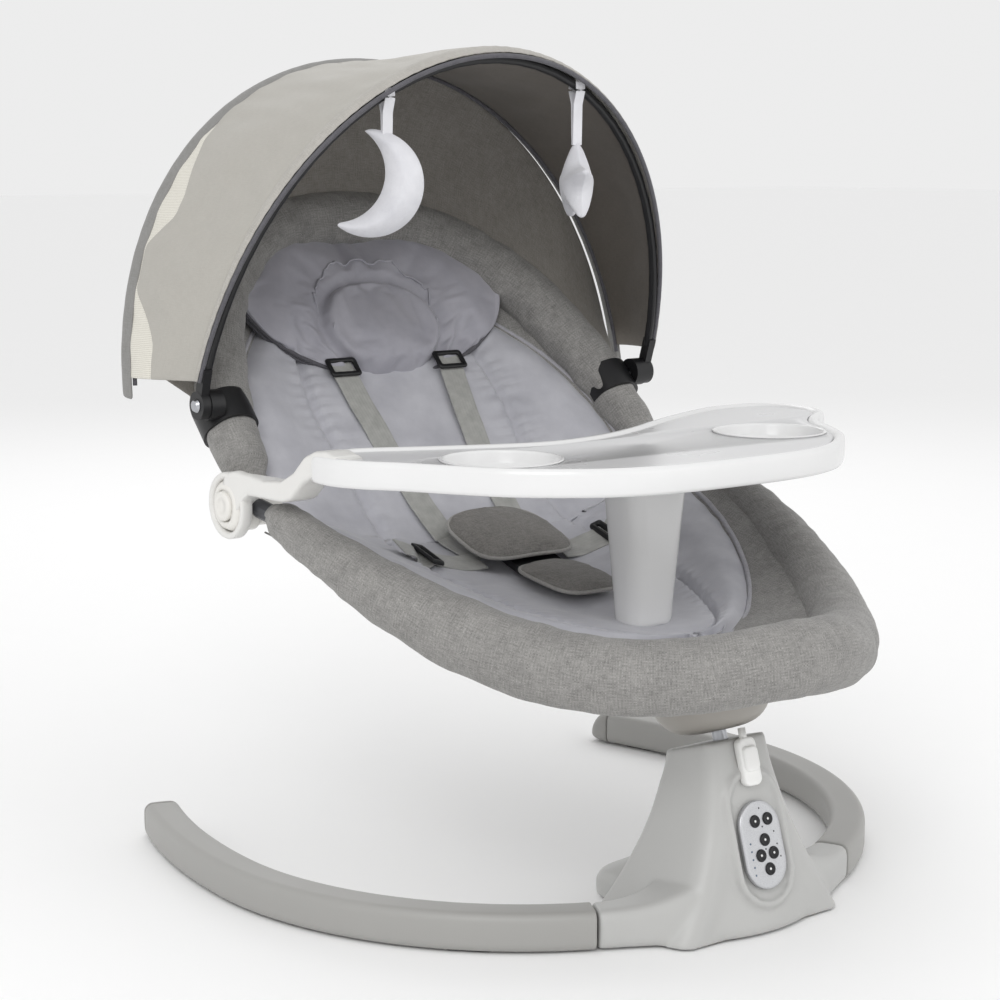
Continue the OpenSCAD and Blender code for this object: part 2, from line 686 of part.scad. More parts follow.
function bow_z(x) = let (h = sqrt(1 - pow(x / bow_w, 2))) pivot_z + bow_reach * h * sin(bow_angle);
function bow_y(x) = let (h = sqrt(1 - pow(x / bow_w, 2))) pivot_y + bow_reach * h * cos(bow_angle);
toy_drop = [bow_z(moon_x) - 9.5, bow_z(star_x) - 9.5];

module moon_toy() {
    y = bow_y(moon_x);
    top = toy_drop[0];
    color("#f2f2f5") {
        translate([moon_x - 5, y - 0.7, top - 46]) cube([10, 1.4, 46]);
        translate([moon_x, y, 574]) rotate([90, 0, 0]) translate([0, 0, -12]) difference() {
            cylinder(h = 24, r = 41, $fn = 64);
            translate([-24, 16, -1]) cylinder(h = 26, r = 34, $fn = 64);
        }
    }
}

module star_toy() {
    y = bow_y(star_x);
    top = toy_drop[1];
    r = 38;
    color("#f2f2f5") {
        translate([star_x - 5, y - 0.7, top - 40]) cube([10, 1.4, 40]);
        translate([star_x, y, top - 76]) rotate([90, 0, 65]) translate([0, 0, -15]) linear_extrude(30) polygon(
            [for (i = [0 : 9]) let (q = i % 2 == 0 ? r : 0.58 * r) [q * sin(36 * i), q * cos(36 * i)]]);
    }
}

// ---------- tray ----------

// Outline of the tray: front edge, right lobe, the concave edge facing the baby, and the left end at the arm
tray_front = [[45, -26], [84, -21], [120, -8], [150, 12], [180, 40], [205, 78], [225, 112]];
tray_right = [[250, 138], [275, 156], [289, 180], [293, 206], [288, 228], [274, 243], [255, 249], [230, 249]];
tray_back = [[205, 245], [150, 223], [100, 198], [50, 172], [10, 156], [-30, 148], [-62, 148], [-95, 158],
    [-128, 172], [-165, 189], [-200, 205]];
tray_left = [[-222, 206], [-250, 197], [-254, 165], [-243, 136]];
tray_outline = concat([[0, -27]], tray_front, tray_right, tray_back, tray_left,
    [for (i = [len(tray_front) - 1 : -1 : 0]) [-tray_front[i][0], tray_front[i][1]]]);
module tray_shape(k) {
    polygon([for (p = tray_outline) [p[0] * k, 100 + (p[1] - 100) * k]]);
}

module tray() {
    color("#f7f7f7") difference() {
        translate([0, 0, tray_z - tray_h]) linear_extrude(tray_h) tray_shape(1);
        translate([0, 0, tray_z - 4]) linear_extrude(5) tray_shape(0.93);
        translate([0, 0, tray_z - tray_h - 1]) linear_extrude(tray_h - 8) tray_shape(0.95);
        for (x = [-143, 143]) translate([x, 92, tray_z - 16]) cylinder(h = 20, r = cup_r + 2, $fn = 96);
    }
}

module tray_inset() {
    color("#e6e6e6") difference() {
        union() {
            translate([0, 0, tray_z - 4]) linear_extrude(1.5) tray_shape(0.928);
            for (x = [-143, 143]) translate([x, 92, tray_z - 15]) cylinder(h = 12, r = cup_r + 1.9, $fn = 96);
        }
        for (x = [-143, 143]) translate([x, 92, tray_z - 13]) cylinder(h = 20, r = cup_r, $fn = 96);
    }
}

// Arm from the left hub: a ring on the hub's outer end and a bent blade that rises to the tray
module arm_profile(x0, x1, outline) {
    translate([-x1, 0, 0]) rotate([90, 0, 90]) linear_extrude(x1 - x0) polygon(outline);
}

module tray_arm() {
    color("#f4f4f3") difference() {
        union() {
            mirror([1, 0, 0]) along_x(tray_ring_x[0], tray_ring_x[1], hub_y, hub_z, 28);
            arm_profile(tray_ring_x[0], tray_ring_x[1], [[hub_y, hub_z + 28], [300, 341], [285, 340], [285, 324],
                [297, 322], [hub_y, hub_z + 10]]);
            arm_profile(224, tray_ring_x[1], [[292, 341], [268, 339], [240, 342], [220, 352], [204, 366], [190, 372], [176, 373],
                [160, tray_z], [160, tray_z - tray_h + 4], [196, tray_z - tray_h + 2], [208, 344], [226, 328],
                [240, 324.5], [292, 323.5]]);
        }
        mirror([1, 0, 0]) along_x(228, 254, hub_y, hub_z, hub_r + run);
    }
}

module tray_post() {
    color("#f7f7f7") hull() {
        translate([0, 88, tray_z - 10]) linear_extrude(1) round_box(70, 52, 18);
        translate([0, 88, floor_z(88) + 1.8]) linear_extrude(1) round_box(44, 36, 14);
    }
}

housing();
base_plate();
rubber_feet();
leg_left();
leg_right();
leg_caps();
base_screws();
bearing_block();
spindle_bearings();
drive_coil();
circuit_board();
dc_inlet();
panel_bezel();
panel_leds();
button_power();
button_timer();
button_music();
button_volume();
button_slower();
button_faster();
lock_slider();
swing_head();
spindle();
drive_magnet();
seat_cradle();
front_tube();
hub_housings();
hub_pins();
front_rim_cover();
seat_sling();
under_cover();
seat_liner();
waist_straps();
waist_slides();
harness_pads();
harness_buckle();
back_tube();
hub_discs();
back_rim_cover();
back_sling();
back_liner();
pillow();
shoulder_straps();
strap_adjusters();
canopy_clamps();
canopy_pins();
rear_hoop();
hood_shell();
rear_panel();
canopy_bow();
bow_ends();
hood_hem();
moon_toy();
star_toy();
release_left();
release_right();
tray();
tray_inset();
tray_arm();
tray_post();
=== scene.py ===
import json
import math

import bmesh
import bpy
import numpy as np
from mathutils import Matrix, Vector, noise

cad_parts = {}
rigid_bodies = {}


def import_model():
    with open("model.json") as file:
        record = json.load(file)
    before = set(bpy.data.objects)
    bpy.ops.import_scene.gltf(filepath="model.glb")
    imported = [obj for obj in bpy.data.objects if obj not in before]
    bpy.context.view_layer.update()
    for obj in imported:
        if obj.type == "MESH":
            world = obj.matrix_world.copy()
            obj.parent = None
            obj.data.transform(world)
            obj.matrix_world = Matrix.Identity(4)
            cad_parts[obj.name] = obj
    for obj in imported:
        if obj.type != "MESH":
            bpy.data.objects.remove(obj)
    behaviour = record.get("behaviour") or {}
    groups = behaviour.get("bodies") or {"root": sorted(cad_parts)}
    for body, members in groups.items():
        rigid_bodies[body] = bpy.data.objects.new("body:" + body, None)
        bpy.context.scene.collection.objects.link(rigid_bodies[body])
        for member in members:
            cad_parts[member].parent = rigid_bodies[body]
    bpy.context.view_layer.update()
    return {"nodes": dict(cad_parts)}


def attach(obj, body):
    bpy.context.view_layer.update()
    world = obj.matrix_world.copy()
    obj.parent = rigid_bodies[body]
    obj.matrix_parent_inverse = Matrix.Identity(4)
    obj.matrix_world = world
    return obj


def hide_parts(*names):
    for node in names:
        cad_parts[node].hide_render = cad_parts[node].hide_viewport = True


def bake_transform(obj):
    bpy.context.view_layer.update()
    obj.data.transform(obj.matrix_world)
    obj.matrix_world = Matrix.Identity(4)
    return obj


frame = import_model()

MM = 0.001
nodes = frame["nodes"]
scene = bpy.context.scene

# ---------------------------------------------------------------- camera, lamps and floor

camera = bpy.data.objects.new("camera", bpy.data.cameras.new("camera"))
camera.data.lens = 77.48
camera.data.sensor_width = 36
camera.location = (-1.137, -1.2146, 0.5971)
camera_aim = Vector((0, 0.2818, 0.2974))
camera.rotation_euler = (camera_aim - camera.location).to_track_quat("-Z", "Y").to_euler()
scene.collection.objects.link(camera)
scene.camera = camera
scene.view_settings.view_transform = "Standard"


def linear(code):
    """An sRGB hex colour as linear RGBA."""
    parts = [int(code[i:i + 2], 16) / 255 for i in (1, 3, 5)]
    return (*[c / 12.92 if c <= 0.04045 else ((c + 0.055) / 1.055) ** 2.4 for c in parts], 1)


def lamp(name, place, watts, size, tint="#ffffff"):
    light = bpy.data.objects.new(name, bpy.data.lights.new(name, "AREA"))
    light.data.energy = watts
    light.data.size = size
    light.data.color = linear(tint)[:3]
    light.location = place
    light.rotation_euler = (Vector((0, 0.2, 0.35)) - Vector(place)).to_track_quat("-Z", "Y").to_euler()
    scene.collection.objects.link(light)


lamp("key_softbox", (-1.9, -1.5, 2.1), 22, 1.2)
lamp("front_fill", (0.9, -2.2, 1.1), 5, 1.8)
lamp("rear_rim", (1.2, 2.2, 1.9), 9, 1.4)
world = bpy.data.worlds.new("studio")
world.use_nodes = True
world.node_tree.nodes["Background"].inputs["Color"].default_value = linear("#fdfdfd")
world.node_tree.nodes["Background"].inputs["Strength"].default_value = 0.86
scene.world = world


def add(tree, kind, inputs=None, **settings):
    """Adds a shader or geometry node; an input is a value or another node's socket."""
    made = tree.nodes.new(kind)
    for key, value in settings.items():
        setattr(made, key, value)
    for key, value in (inputs or {}).items():
        if isinstance(value, bpy.types.NodeSocket):
            tree.links.new(value, made.inputs[key])
        else:
            made.inputs[key].default_value = value
    return made


def blank(name, **sockets):
    """A new Principled material with uniform values set on the shader's own sockets."""
    made = bpy.data.materials.new(name)
    made.use_nodes = True
    shader = made.node_tree.nodes["Principled BSDF"]
    for key, value in sockets.items():
        shader.inputs[key.replace("_", " ")].default_value = value
    return made, made.node_tree, shader


def moulded(name, code, roughness, grain=0.9, relief=0.08, depth=0.05, **sockets):
    """Injection moulded plastic: a fine spark-eroded grain in mm, faint flow shading, uneven gloss."""
    made, tree, shader = blank(name, **sockets)
    place = add(tree, "ShaderNodeTexCoord").outputs["Object"]
    flow = add(tree, "ShaderNodeTexNoise", {"Vector": place, "Scale": 1000 / 70, "Detail": 3.0})
    fine = add(tree, "ShaderNodeTexNoise", {"Vector": place, "Scale": 1000 / grain, "Detail": 2.0})
    full = linear(code)
    dull = tuple(c * (1 - depth) for c in full[:3]) + (1,)
    tone = add(tree, "ShaderNodeMix", {0: flow.outputs["Fac"], 6: full, 7: dull}, data_type="RGBA")
    gloss = add(tree, "ShaderNodeMapRange", {0: flow.outputs["Fac"], 3: roughness - 0.04,
                                             4: roughness + 0.06})
    bump = add(tree, "ShaderNodeBump", {"Height": fine.outputs["Fac"], "Strength": relief,
                                        "Distance": 0.0003})
    tree.links.new(tone.outputs[2], shader.inputs["Base Color"])
    tree.links.new(gloss.outputs[0], shader.inputs["Roughness"])
    tree.links.new(bump.outputs[0], shader.inputs["Normal"])
    return made


floor_mesh = bpy.data.meshes.new("floor")
floor_mesh.from_pydata([(-30, -30, 0), (30, -30, 0), (30, 30, 0), (-30, 30, 0)], [], [(0, 1, 2, 3)])
floor = bpy.data.objects.new("floor", floor_mesh)
floor_mesh.materials.append(moulded("studio_floor_paper", "#fdfdfd", 0.9, grain=4, relief=0.01, depth=0.01))
scene.collection.objects.link(floor)

# ---------------------------------------------------------------- leg ring and end caps
# Two legs bent from ABS shells, matt grey. Each is pushed over a stub of the housing and closed by a
# slanted nose at the rear. The fine grain comes from the eroded mould.

ring_r = 306
ring_y = 255
leg_w = 31
leg_h = 31
foot_h = 1.5
rear_r = 575
leg_end_y = 436
seam_half = 26
rear_turn = math.degrees(math.asin((leg_end_y - ring_y) / rear_r))


def fresh(name, points, faces, uv=None):
    """A mesh from points in mm, with one uv pair in metres for each corner of its faces."""
    mesh = bpy.data.meshes.new(name)
    mesh.from_pydata([tuple(p) for p in np.asarray(points, float) * MM], [], faces)
    if uv is not None:
        layer = mesh.uv_layers.new(name="cloth")
        layer.data.foreach_set("uv", np.asarray(uv, float).ravel())
    mesh.shade_smooth()
    return mesh


def lofted(name, rows, wrap=False, caps=False):
    """A skin over rows of points in mm. Its uv map follows the surface at real size."""
    rows = np.asarray(rows, float)
    m, n = rows.shape[:2]
    loop = np.concatenate([rows, rows[:, :1]], axis=1) if wrap else rows
    steps = np.linalg.norm(np.diff(loop, axis=1), axis=2)
    across = np.concatenate([np.zeros((m, 1)), np.cumsum(steps, axis=1)], axis=1)
    across -= across[:, across.shape[1] // 2][:, None]
    middle = loop[:, loop.shape[1] // 2]
    along = np.concatenate([[0], np.cumsum(np.linalg.norm(np.diff(middle, axis=0), axis=1))])
    uv = np.stack([across, np.repeat(along[:, None], across.shape[1], axis=1)], axis=2) * MM
    faces, corners = [], []
    for i in range(m - 1):
        for j in range(loop.shape[1] - 1):
            k = (j + 1) % n
            faces.append((i * n + j, i * n + k, (i + 1) * n + k, (i + 1) * n + j))
            corners += [uv[i, j], uv[i, j + 1], uv[i + 1, j + 1], uv[i + 1, j]]
    if caps:
        faces += [tuple(range(n))[::-1], tuple((m - 1) * n + j for j in range(n))]
        corners += [uv[0, j] for j in range(n)][::-1] + [uv[m - 1, j] for j in range(n)]
    return fresh(name, rows.reshape(-1, 3), faces, corners)


def rounded(w, h, r, steps=5):
    """Corner points of a round-cornered rectangle, anticlockwise from the lower right."""
    out = []
    for cx, cy, start in ((1, -1, -90), (1, 1, 0), (-1, 1, 90), (-1, -1, 180)):
        for a in np.radians(np.linspace(start, start + 90, steps)):
            out.append((cx * (w / 2 - r) + r * math.cos(a), cy * (h / 2 - r) + r * math.sin(a)))
    return np.array(out)


def swept(name, path, sections, up=(0, 0, 1), wrap=True, caps=True, closed=False):
    """Runs a section along a path in mm. Its x points sideways and its y along up."""
    path = np.asarray(path, float)
    ahead = np.gradient(path, axis=0)
    if closed:
        ahead = np.roll(path, -1, axis=0) - np.roll(path, 1, axis=0)
    ahead /= np.linalg.norm(ahead, axis=1)[:, None]
    ups = np.broadcast_to(np.asarray(up, float), path.shape)
    side = np.cross(ahead, ups)
    side /= np.linalg.norm(side, axis=1)[:, None]
    over = np.cross(side, ahead)
    shape = np.asarray(sections, float)
    if shape.ndim == 2:
        shape = np.broadcast_to(shape, (len(path), *shape.shape))
    rows = path[:, None] + shape[..., :1] * side[:, None] + shape[..., 1:] * over[:, None]
    if closed:
        rows = np.concatenate([rows, rows[:1]])
    return lofted(name, rows, wrap=wrap, caps=caps and not closed)


def outward(mesh, weld=0.01):
    """Merges doubles closer than weld mm and turns the faces outwards."""
    work = bmesh.new()
    work.from_mesh(mesh)
    bmesh.ops.remove_doubles(work, verts=work.verts, dist=weld * MM)
    bmesh.ops.recalc_face_normals(work, faces=work.faces)
    work.to_mesh(mesh)
    work.free()
    mesh.shade_smooth()
    return mesh


def piece(name, mesh, finish, thick=0.0, offset=0.0, bevel=0.0, levels=0, extra=()):
    """Makes the object, lets its modifiers finish the mesh and leaves a plain mesh."""
    made = bpy.data.objects.new(name, mesh)
    scene.collection.objects.link(made)
    mesh.materials.clear()
    for each in finish if isinstance(finish, (list, tuple)) else [finish]:
        mesh.materials.append(each)
    for kind, settings in extra:
        step = made.modifiers.new(kind, kind)
        for key, value in settings.items():
            setattr(step, key, value)
    if thick:
        wall = made.modifiers.new("wall", "SOLIDIFY")
        wall.thickness = thick * MM
        wall.offset = offset
    if bevel:
        edge = made.modifiers.new("edge", "BEVEL")
        edge.width = bevel * MM
        edge.segments = 3
        edge.limit_method = "ANGLE"
        edge.angle_limit = math.radians(40)
    if levels:
        smooth = made.modifiers.new("smooth", "SUBSURF")
        smooth.levels = smooth.render_levels = levels
    if made.modifiers:
        seen = made.evaluated_get(bpy.context.evaluated_depsgraph_get())
        made.data = bpy.data.meshes.new_from_object(seen)
        made.modifiers.clear()
    made.data.name = name
    made.data.shade_smooth()
    return made


def stands_for(made, body, names=()):
    """The piece rides on a body and hides the CAD nodes it stands for."""
    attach(made, body)
    if names:
        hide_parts(*names)


def dress(finish, *names):
    """Gives CAD nodes whose shape is right a better material."""
    for name in names:
        mesh = nodes[name].data
        mesh.materials.clear()
        mesh.materials.append(finish)


leg_plastic = moulded("leg_abs_eroded_grey", "#a5a4a1", 0.42, grain=0.9, relief=0.1)
cap_plastic = moulded("cap_abs_eroded_grey", "#9b9a97", 0.46, grain=0.9, relief=0.1)


def ring_path(first, last, count, shift=0.0):
    """Centre of the leg section over the leg's front arc, angles from the foot end in degrees."""
    return [((ring_r - leg_w / 2 + shift) * math.sin(a), ring_y - (ring_r - leg_w / 2 + shift) * math.cos(a),
             foot_h + leg_h / 2) for a in np.radians(np.linspace(first, last, count))]


def leg_path(side):
    front = ring_path(seam_half + 0.35, 90, 34)
    turn = np.radians(np.linspace(0, rear_turn, 16))[1:]
    reach = rear_r - leg_w / 2
    rear = [(ring_r - rear_r + reach * math.cos(a), ring_y + reach * math.sin(a), foot_h + leg_h / 2)
            for a in turn]
    return [(side * x, y, z) for x, y, z in front + rear]


for side, name in ((-1, "leg_left"), (1, "leg_right")):
    path = leg_path(side)
    section = rounded(leg_w, leg_h, 7.5, 6)
    shell = outward(swept(name + "_shell", path, section))
    made = piece(name + "_shell", shell, leg_plastic, bevel=1.2)
    stands_for(made, "base", [name])

nose_rows = []
end = np.array(leg_path(1)[-1])
before = np.array(leg_path(1)[-2])
ahead = (end - before) / np.linalg.norm(end - before)
side_way = np.array([ahead[1], -ahead[0], 0])
nose_steps = ((0.3, 31, 31, 0, 7.5), (2, 31, 31, 0, 7.5), (9, 30, 30, -0.5, 8), (16, 26.5, 25, -2.6, 8.5),
              (21, 20, 17, -5.6, 7), (24, 12, 9, -8.5, 4), (24.6, 6, 5, -9.5, 2))
for reach, w, h, drop, r in nose_steps:
    flat = rounded(w, h, r, 6)
    nose_rows.append([end + ahead * reach + side_way * x + np.array([0, 0, y + drop]) for x, y in flat])
nose = lofted("leg_noses", nose_rows, wrap=True, caps=True)
both = bmesh.new()
both.from_mesh(nose)
half = bmesh.ops.duplicate(both, geom=both.verts[:] + both.edges[:] + both.faces[:])["geom"]
for v in (g for g in half if isinstance(g, bmesh.types.BMVert)):
    v.co.x = -v.co.x
both.to_mesh(nose)
both.free()
made = piece("leg_noses", outward(nose), cap_plastic, levels=1)
stands_for(made, "base", ["leg_caps"])

# ---------------------------------------------------------------- tower housing
# One grey ABS moulding: the front of the leg ring, a low foot behind and the drive tower, with a soft
# ridge round the control panel. Fillets run into each other, as a moulder leaves them.

tower_top = 148
face_tilt = 17.3
face_y = -76
housing_plastic = moulded("housing_abs_satin_grey", "#bcbcba", 0.36, grain=1.0, relief=0.07)


def on_face(u, v, w):
    """A point on the tower's front face: across, up the face and out of it."""
    lean = math.radians(face_tilt)
    return (u, face_y + v * math.sin(lean) - w * math.cos(lean), v * math.cos(lean) + w * math.sin(lean))


tower_rows = []
for z in np.linspace(foot_h, tower_top + 1, 26):
    up = z / tower_top
    half_w = 33 + 58 * max(0, 1 - up) ** 1.75
    front = face_y + z * math.tan(math.radians(face_tilt)) + 0.4
    rear = 25 + 10 * max(0, 1 - up) ** 1.6
    ring = rounded(2 * half_w, rear - front, min(14, 10 + 9 * (1 - up)), 7)
    slant = 17 * max(0, up - 0.72) / 0.28
    tower_rows.append([(x, y + (front + rear) / 2 + x * x / 420,
                        z - slant * (y + (rear - front) / 2) / (rear - front)) for x, y in ring])
tower = lofted("housing_shell", tower_rows, wrap=True, caps=True)

skirt_rows = []
for a in np.linspace(-seam_half, seam_half, 41):
    swell = math.cos(math.radians(90 * a / seam_half)) ** 2
    outer = ring_r + 22 * swell
    inner = ring_r - leg_w - 14 * swell
    tall = leg_h + 30 * swell ** 1.5
    t = math.radians(a)
    ring = rounded(outer - inner, tall, 7.5, 6)
    skirt_rows.append([])
    for x, y in ring:
        reach = (outer + inner) / 2 + x - 0.33 * swell * (tall / 2 + y)
        skirt_rows[-1].append((reach * math.sin(t), ring_y - reach * math.cos(t), foot_h + tall / 2 + y))
skirt = lofted("skirt", skirt_rows, wrap=True, caps=True)

heel_rows = []
heel_steps = ((foot_h, 55, 86, 16), (4, 57, 88, 16), (17, 57, 88, 16), (24, 54, 84, 17), (29, 47, 75, 18),
              (38, 41, 58, 16), (50, 37, 38, 12), (60, 34, 24, 9))
for z, half_w, rear, r in heel_steps:
    ring = rounded(2 * half_w, rear + 20, r, 6)
    heel_rows.append([(x, y + (rear - 20) / 2, z) for x, y in ring])
heel = lofted("heel", heel_rows, wrap=True, caps=True)


def pill(length, width, steps=24):
    """Outline of a stadium, long way up."""
    out = []
    for end, start in ((1, 0), (-1, 180)):
        for a in np.radians(np.linspace(start, start + 180, steps)):
            out.append((width / 2 * math.cos(a), end * (length - width) / 2 + width / 2 * math.sin(a)))
    return out


panel_v = 72
ridge_rows = [[on_face(x, y + panel_v + 6, w) for x, y in pill(110 - trim, 60 - trim)] for w, trim in
              ((-6, 0), (1.5, 0), (2.8, 5), (2.8, 8), (1.2, 11), (-6, 11))]
ridge = lofted("ridge", ridge_rows, wrap=True)

joined = bmesh.new()
for part in (tower, skirt, heel, ridge):
    joined.from_mesh(outward(part))
block = bpy.data.meshes.new("housing_shell")
joined.to_mesh(block)
joined.free()
made = piece("housing_shell", block, housing_plastic, extra=(
    ("REMESH", {"mode": "VOXEL", "voxel_size": 0.0021}),
    ("SMOOTH", {"factor": 0.5, "iterations": 9})))
stands_for(made, "base", ["housing"])

# ---------------------------------------------------------------- control panel and swing lock
# The bezel is ABS painted silver; the keys are black rubber-coated ABS; the lamps are clear caps. The
# lock slider is a white acetal thumb piece.

silver_paint, tree, shader = blank("panel_abs_silver_paint", Metallic=0.75, Roughness=0.34)
place = add(tree, "ShaderNodeTexCoord").outputs["Object"]
flakes = add(tree, "ShaderNodeTexVoronoi", {"Vector": place, "Scale": 1000 / 0.9})
tone = add(tree, "ShaderNodeMix", {0: flakes.outputs["Distance"], 6: linear("#cfd0d2"), 7: linear("#bcbdc0")},
           data_type="RGBA")
tree.links.new(tone.outputs[2], shader.inputs["Base Color"])
key_black = moulded("key_rubber_coated_black", "#17171a", 0.5, grain=0.7, relief=0.05)
lens_blue = moulded("lamp_lens_clear_blue", "#5f6f80", 0.2, grain=0.5, relief=0.02)
slider_white = moulded("slider_acetal_white", "#f1f1ef", 0.35, grain=0.8, relief=0.03, depth=0.02)
panel_len = 69
panel_w = 42
bezel_turns = ((-2, 4), (-1, 0), (1.4, 0), (2.1, 0.6), (2.5, 2.4), (2.5, 6), (2.4, 14), (2.4, 24), (2.4, 40))
bezel_rows = [[on_face(x, y + panel_v, w) for x, y in pill(panel_len - trim, panel_w - trim, 30)]
              for w, trim in bezel_turns]
made = piece("panel_face", outward(lofted("panel_face", bezel_rows, wrap=True, caps=True)), silver_paint)
stands_for(made, "base", ["panel_bezel"])

key_places = [(-4.7, 18.7), (8.7, 18.7), (2, 3.3), (-4.7, -8), (8.7, -8), (2, -19.5)]
key_names = ["power", "timer", "music", "volume", "slower", "faster"]
key_profile = [(5.0, -1.0), (5.0, 2.9), (4.7, 3.5), (4.1, 3.8), (3.5, 3.7), (3.2, 3.1), (2.6, 2.9),
               (1.6, 3.1), (0.6, 3.3)]


def spun_on_face(name, profile, u, v, count=28):
    rows = [[on_face(u + r * math.cos(a), v + r * math.sin(a), w)
             for a in np.linspace(0, 2 * math.pi, count, False)] for r, w in profile]
    return outward(lofted(name, rows, wrap=True, caps=True))


for (u, v), name in zip(key_places, key_names):
    made = piece("key_" + name, spun_on_face("key_" + name, key_profile, u, panel_v + v), key_black)
    stands_for(made, name + "_key", ["button_" + name])


def scattered(name, points, shape, finish, spin=(0, 0, 0)):
    """Geometry Nodes: puts a copy of shape at each point, then makes one plain mesh of them."""
    tree = bpy.data.node_groups.new(name, "GeometryNodeTree")
    tree.interface.new_socket("Geometry", in_out="INPUT", socket_type="NodeSocketGeometry")
    turn = tree.interface.new_socket("Turn", in_out="INPUT", socket_type="NodeSocketVector")
    tree.interface.new_socket("Geometry", in_out="OUTPUT", socket_type="NodeSocketGeometry")
    entry = tree.nodes.new("NodeGroupInput")
    stock = add(tree, "GeometryNodeObjectInfo")
    stock.inputs["Object"].default_value = shape
    spread = add(tree, "GeometryNodeInstanceOnPoints", {"Points": entry.outputs["Geometry"],
                                                        "Instance": stock.outputs["Geometry"],
                                                        "Rotation": entry.outputs["Turn"]})
    real = add(tree, "GeometryNodeRealizeInstances", {"Geometry": spread.outputs["Instances"]})
    paint = add(tree, "GeometryNodeSetMaterial", {"Geometry": real.outputs["Geometry"]})
    paint.inputs["Material"].default_value = finish
    add(tree, "NodeGroupOutput", {"Geometry": paint.outputs["Geometry"]})
    cloud = bpy.data.meshes.new(name)
    cloud.from_pydata([tuple(np.array(p) * MM) for p in points], [], [])
    made = bpy.data.objects.new(name, cloud)
    scene.collection.objects.link(made)
    step = made.modifiers.new("scatter", "NODES")
    step.node_group = tree
    step[turn.identifier] = spin
    seen = made.evaluated_get(bpy.context.evaluated_depsgraph_get())
    made.data = bpy.data.meshes.new_from_object(seen)
    made.modifiers.clear()
    bpy.data.objects.remove(shape)
    made.data.shade_smooth()
    return made


def dome(name, radius, height, sides=14):
    """A low dome at the origin, for rivets, dots and lamps, in mm."""
    turns = ((1, -0.6), (1, 0.1), (0.86, 0.6), (0.5, 0.92), (0.1, 1))
    rows = [[(radius * k * math.cos(a), radius * k * math.sin(a), height * h)
             for a in np.linspace(0, 2 * math.pi, sides, False)] for k, h in turns]
    made = bpy.data.objects.new(name, outward(lofted(name, rows, wrap=True, caps=True)))
    scene.collection.objects.link(made)
    return made


face_turn = (math.radians(90 - face_tilt), 0, 0)
lamp_places = [(-13.4, 2.5 - 6.1 * i) for i in range(5)]
made = scattered("panel_lamps", [on_face(u, panel_v + v, 2.4) for u, v in lamp_places],
                 dome("lamp_cap", 0.85, 0.5), lens_blue, face_turn)
stands_for(made, "base", ["panel_leds"])
dots = [(2, 28), (2, 13.5), (1.5, -4), (13, 8), (14, -2), (15.5, -12)]
made = scattered("panel_dots", [on_face(u, panel_v + v, 2.4) for u, v in dots], dome("dot", 0.75, 0.12),
                 key_black, face_turn)
stands_for(made, "base", ())
made = scattered("key_marks", [on_face(u, panel_v + v, 3.2) for u, v in key_places],
                 dome("key_mark", 1.0, 0.35), slider_white, face_turn)
stands_for(made, "base", ())

slide_turns = ((-1, 1.4), (0.5, 0.4), (4.6, 0), (5.6, 0.8), (6.1, 2.4), (6.2, 5), (6.2, 12))
slide_rows = [[on_face(x, y + 137, w) for x, y in rounded(18 - trim, 38 - trim, 5.5 - trim / 3, 6)]
              for w, trim in slide_turns]
slide = bmesh.new()
slide.from_mesh(outward(lofted("slide", slide_rows, wrap=True, caps=True)))
thumb_turns = ((4, 0), (7.4, 0.3), (8.6, 1.8), (8.9, 4), (8.8, 9))
thumb_rows = [[on_face(x, y + 139, w) for x, y in rounded(15 - trim, 20 - trim, 4 - trim / 4, 6)]
              for w, trim in thumb_turns]
slide.from_mesh(outward(lofted("thumb", thumb_rows, wrap=True, caps=True)))
pin_rows = [[(3 * math.cos(a), *on_face(0, v, 2.2 + 3 * math.sin(a))[1:]) for a in
             np.linspace(0, 2 * math.pi, 16, False)] for v in (148, 163.5)]
slide.from_mesh(outward(lofted("pin", pin_rows, wrap=True, caps=True)))
slide_mesh = bpy.data.meshes.new("lock_thumb_piece")
slide.to_mesh(slide_mesh)
slide.free()
made = piece("lock_thumb_piece", slide_mesh, slider_white)
stands_for(made, "lock", ["lock_slider"])

# ---------------------------------------------------------------- swing head
# A warm grey moulded bulb on the leaning steel spindle; the seat's steel cradle is bolted into its top.

swing_tilt = math.radians(20)
axis_y = -5
axis_z = 146
head_plastic = moulded("swing_head_pp_warm_grey", "#a19d97", 0.4, grain=1.0, relief=0.06)
dark_steel = moulded("frame_steel_powder_grey", "#55565a", 0.45, grain=0.7, relief=0.1, Metallic=0.4)
bare_steel = moulded("spindle_steel_ground", "#b9bbbf", 0.3, grain=0.5, relief=0.05, Metallic=1.0)
board_green = moulded("board_fibreglass_green", "#2f5a40", 0.5, grain=0.6, relief=0.05)
coil_copper = moulded("coil_copper_enamelled", "#a5653a", 0.35, grain=0.4, relief=0.2, Metallic=0.9)
rubber = moulded("feet_rubber_dark", "#2e2e30", 0.8, grain=1.4, relief=0.2)
black_pom = moulded("fittings_acetal_black", "#161618", 0.42, grain=0.9, relief=0.08)
hub_white = moulded("hub_abs_warm_white", "#e9e7e2", 0.34, grain=1.0, relief=0.05, depth=0.03)
dress(head_plastic, "base_plate", "bearing_block")
dress(bare_steel, "spindle", "spindle_bearings", "base_screws", "hub_pins", "canopy_pins", "drive_magnet")
dress(dark_steel, "seat_cradle", "front_tube", "back_tube")
dress(board_green, "circuit_board")
dress(coil_copper, "drive_coil")
dress(rubber, "rubber_feet", "dc_inlet")
dress(black_pom, "canopy_clamps", "bow_ends", "canopy_bow", "harness_buckle")
dress(hub_white, "hub_discs")


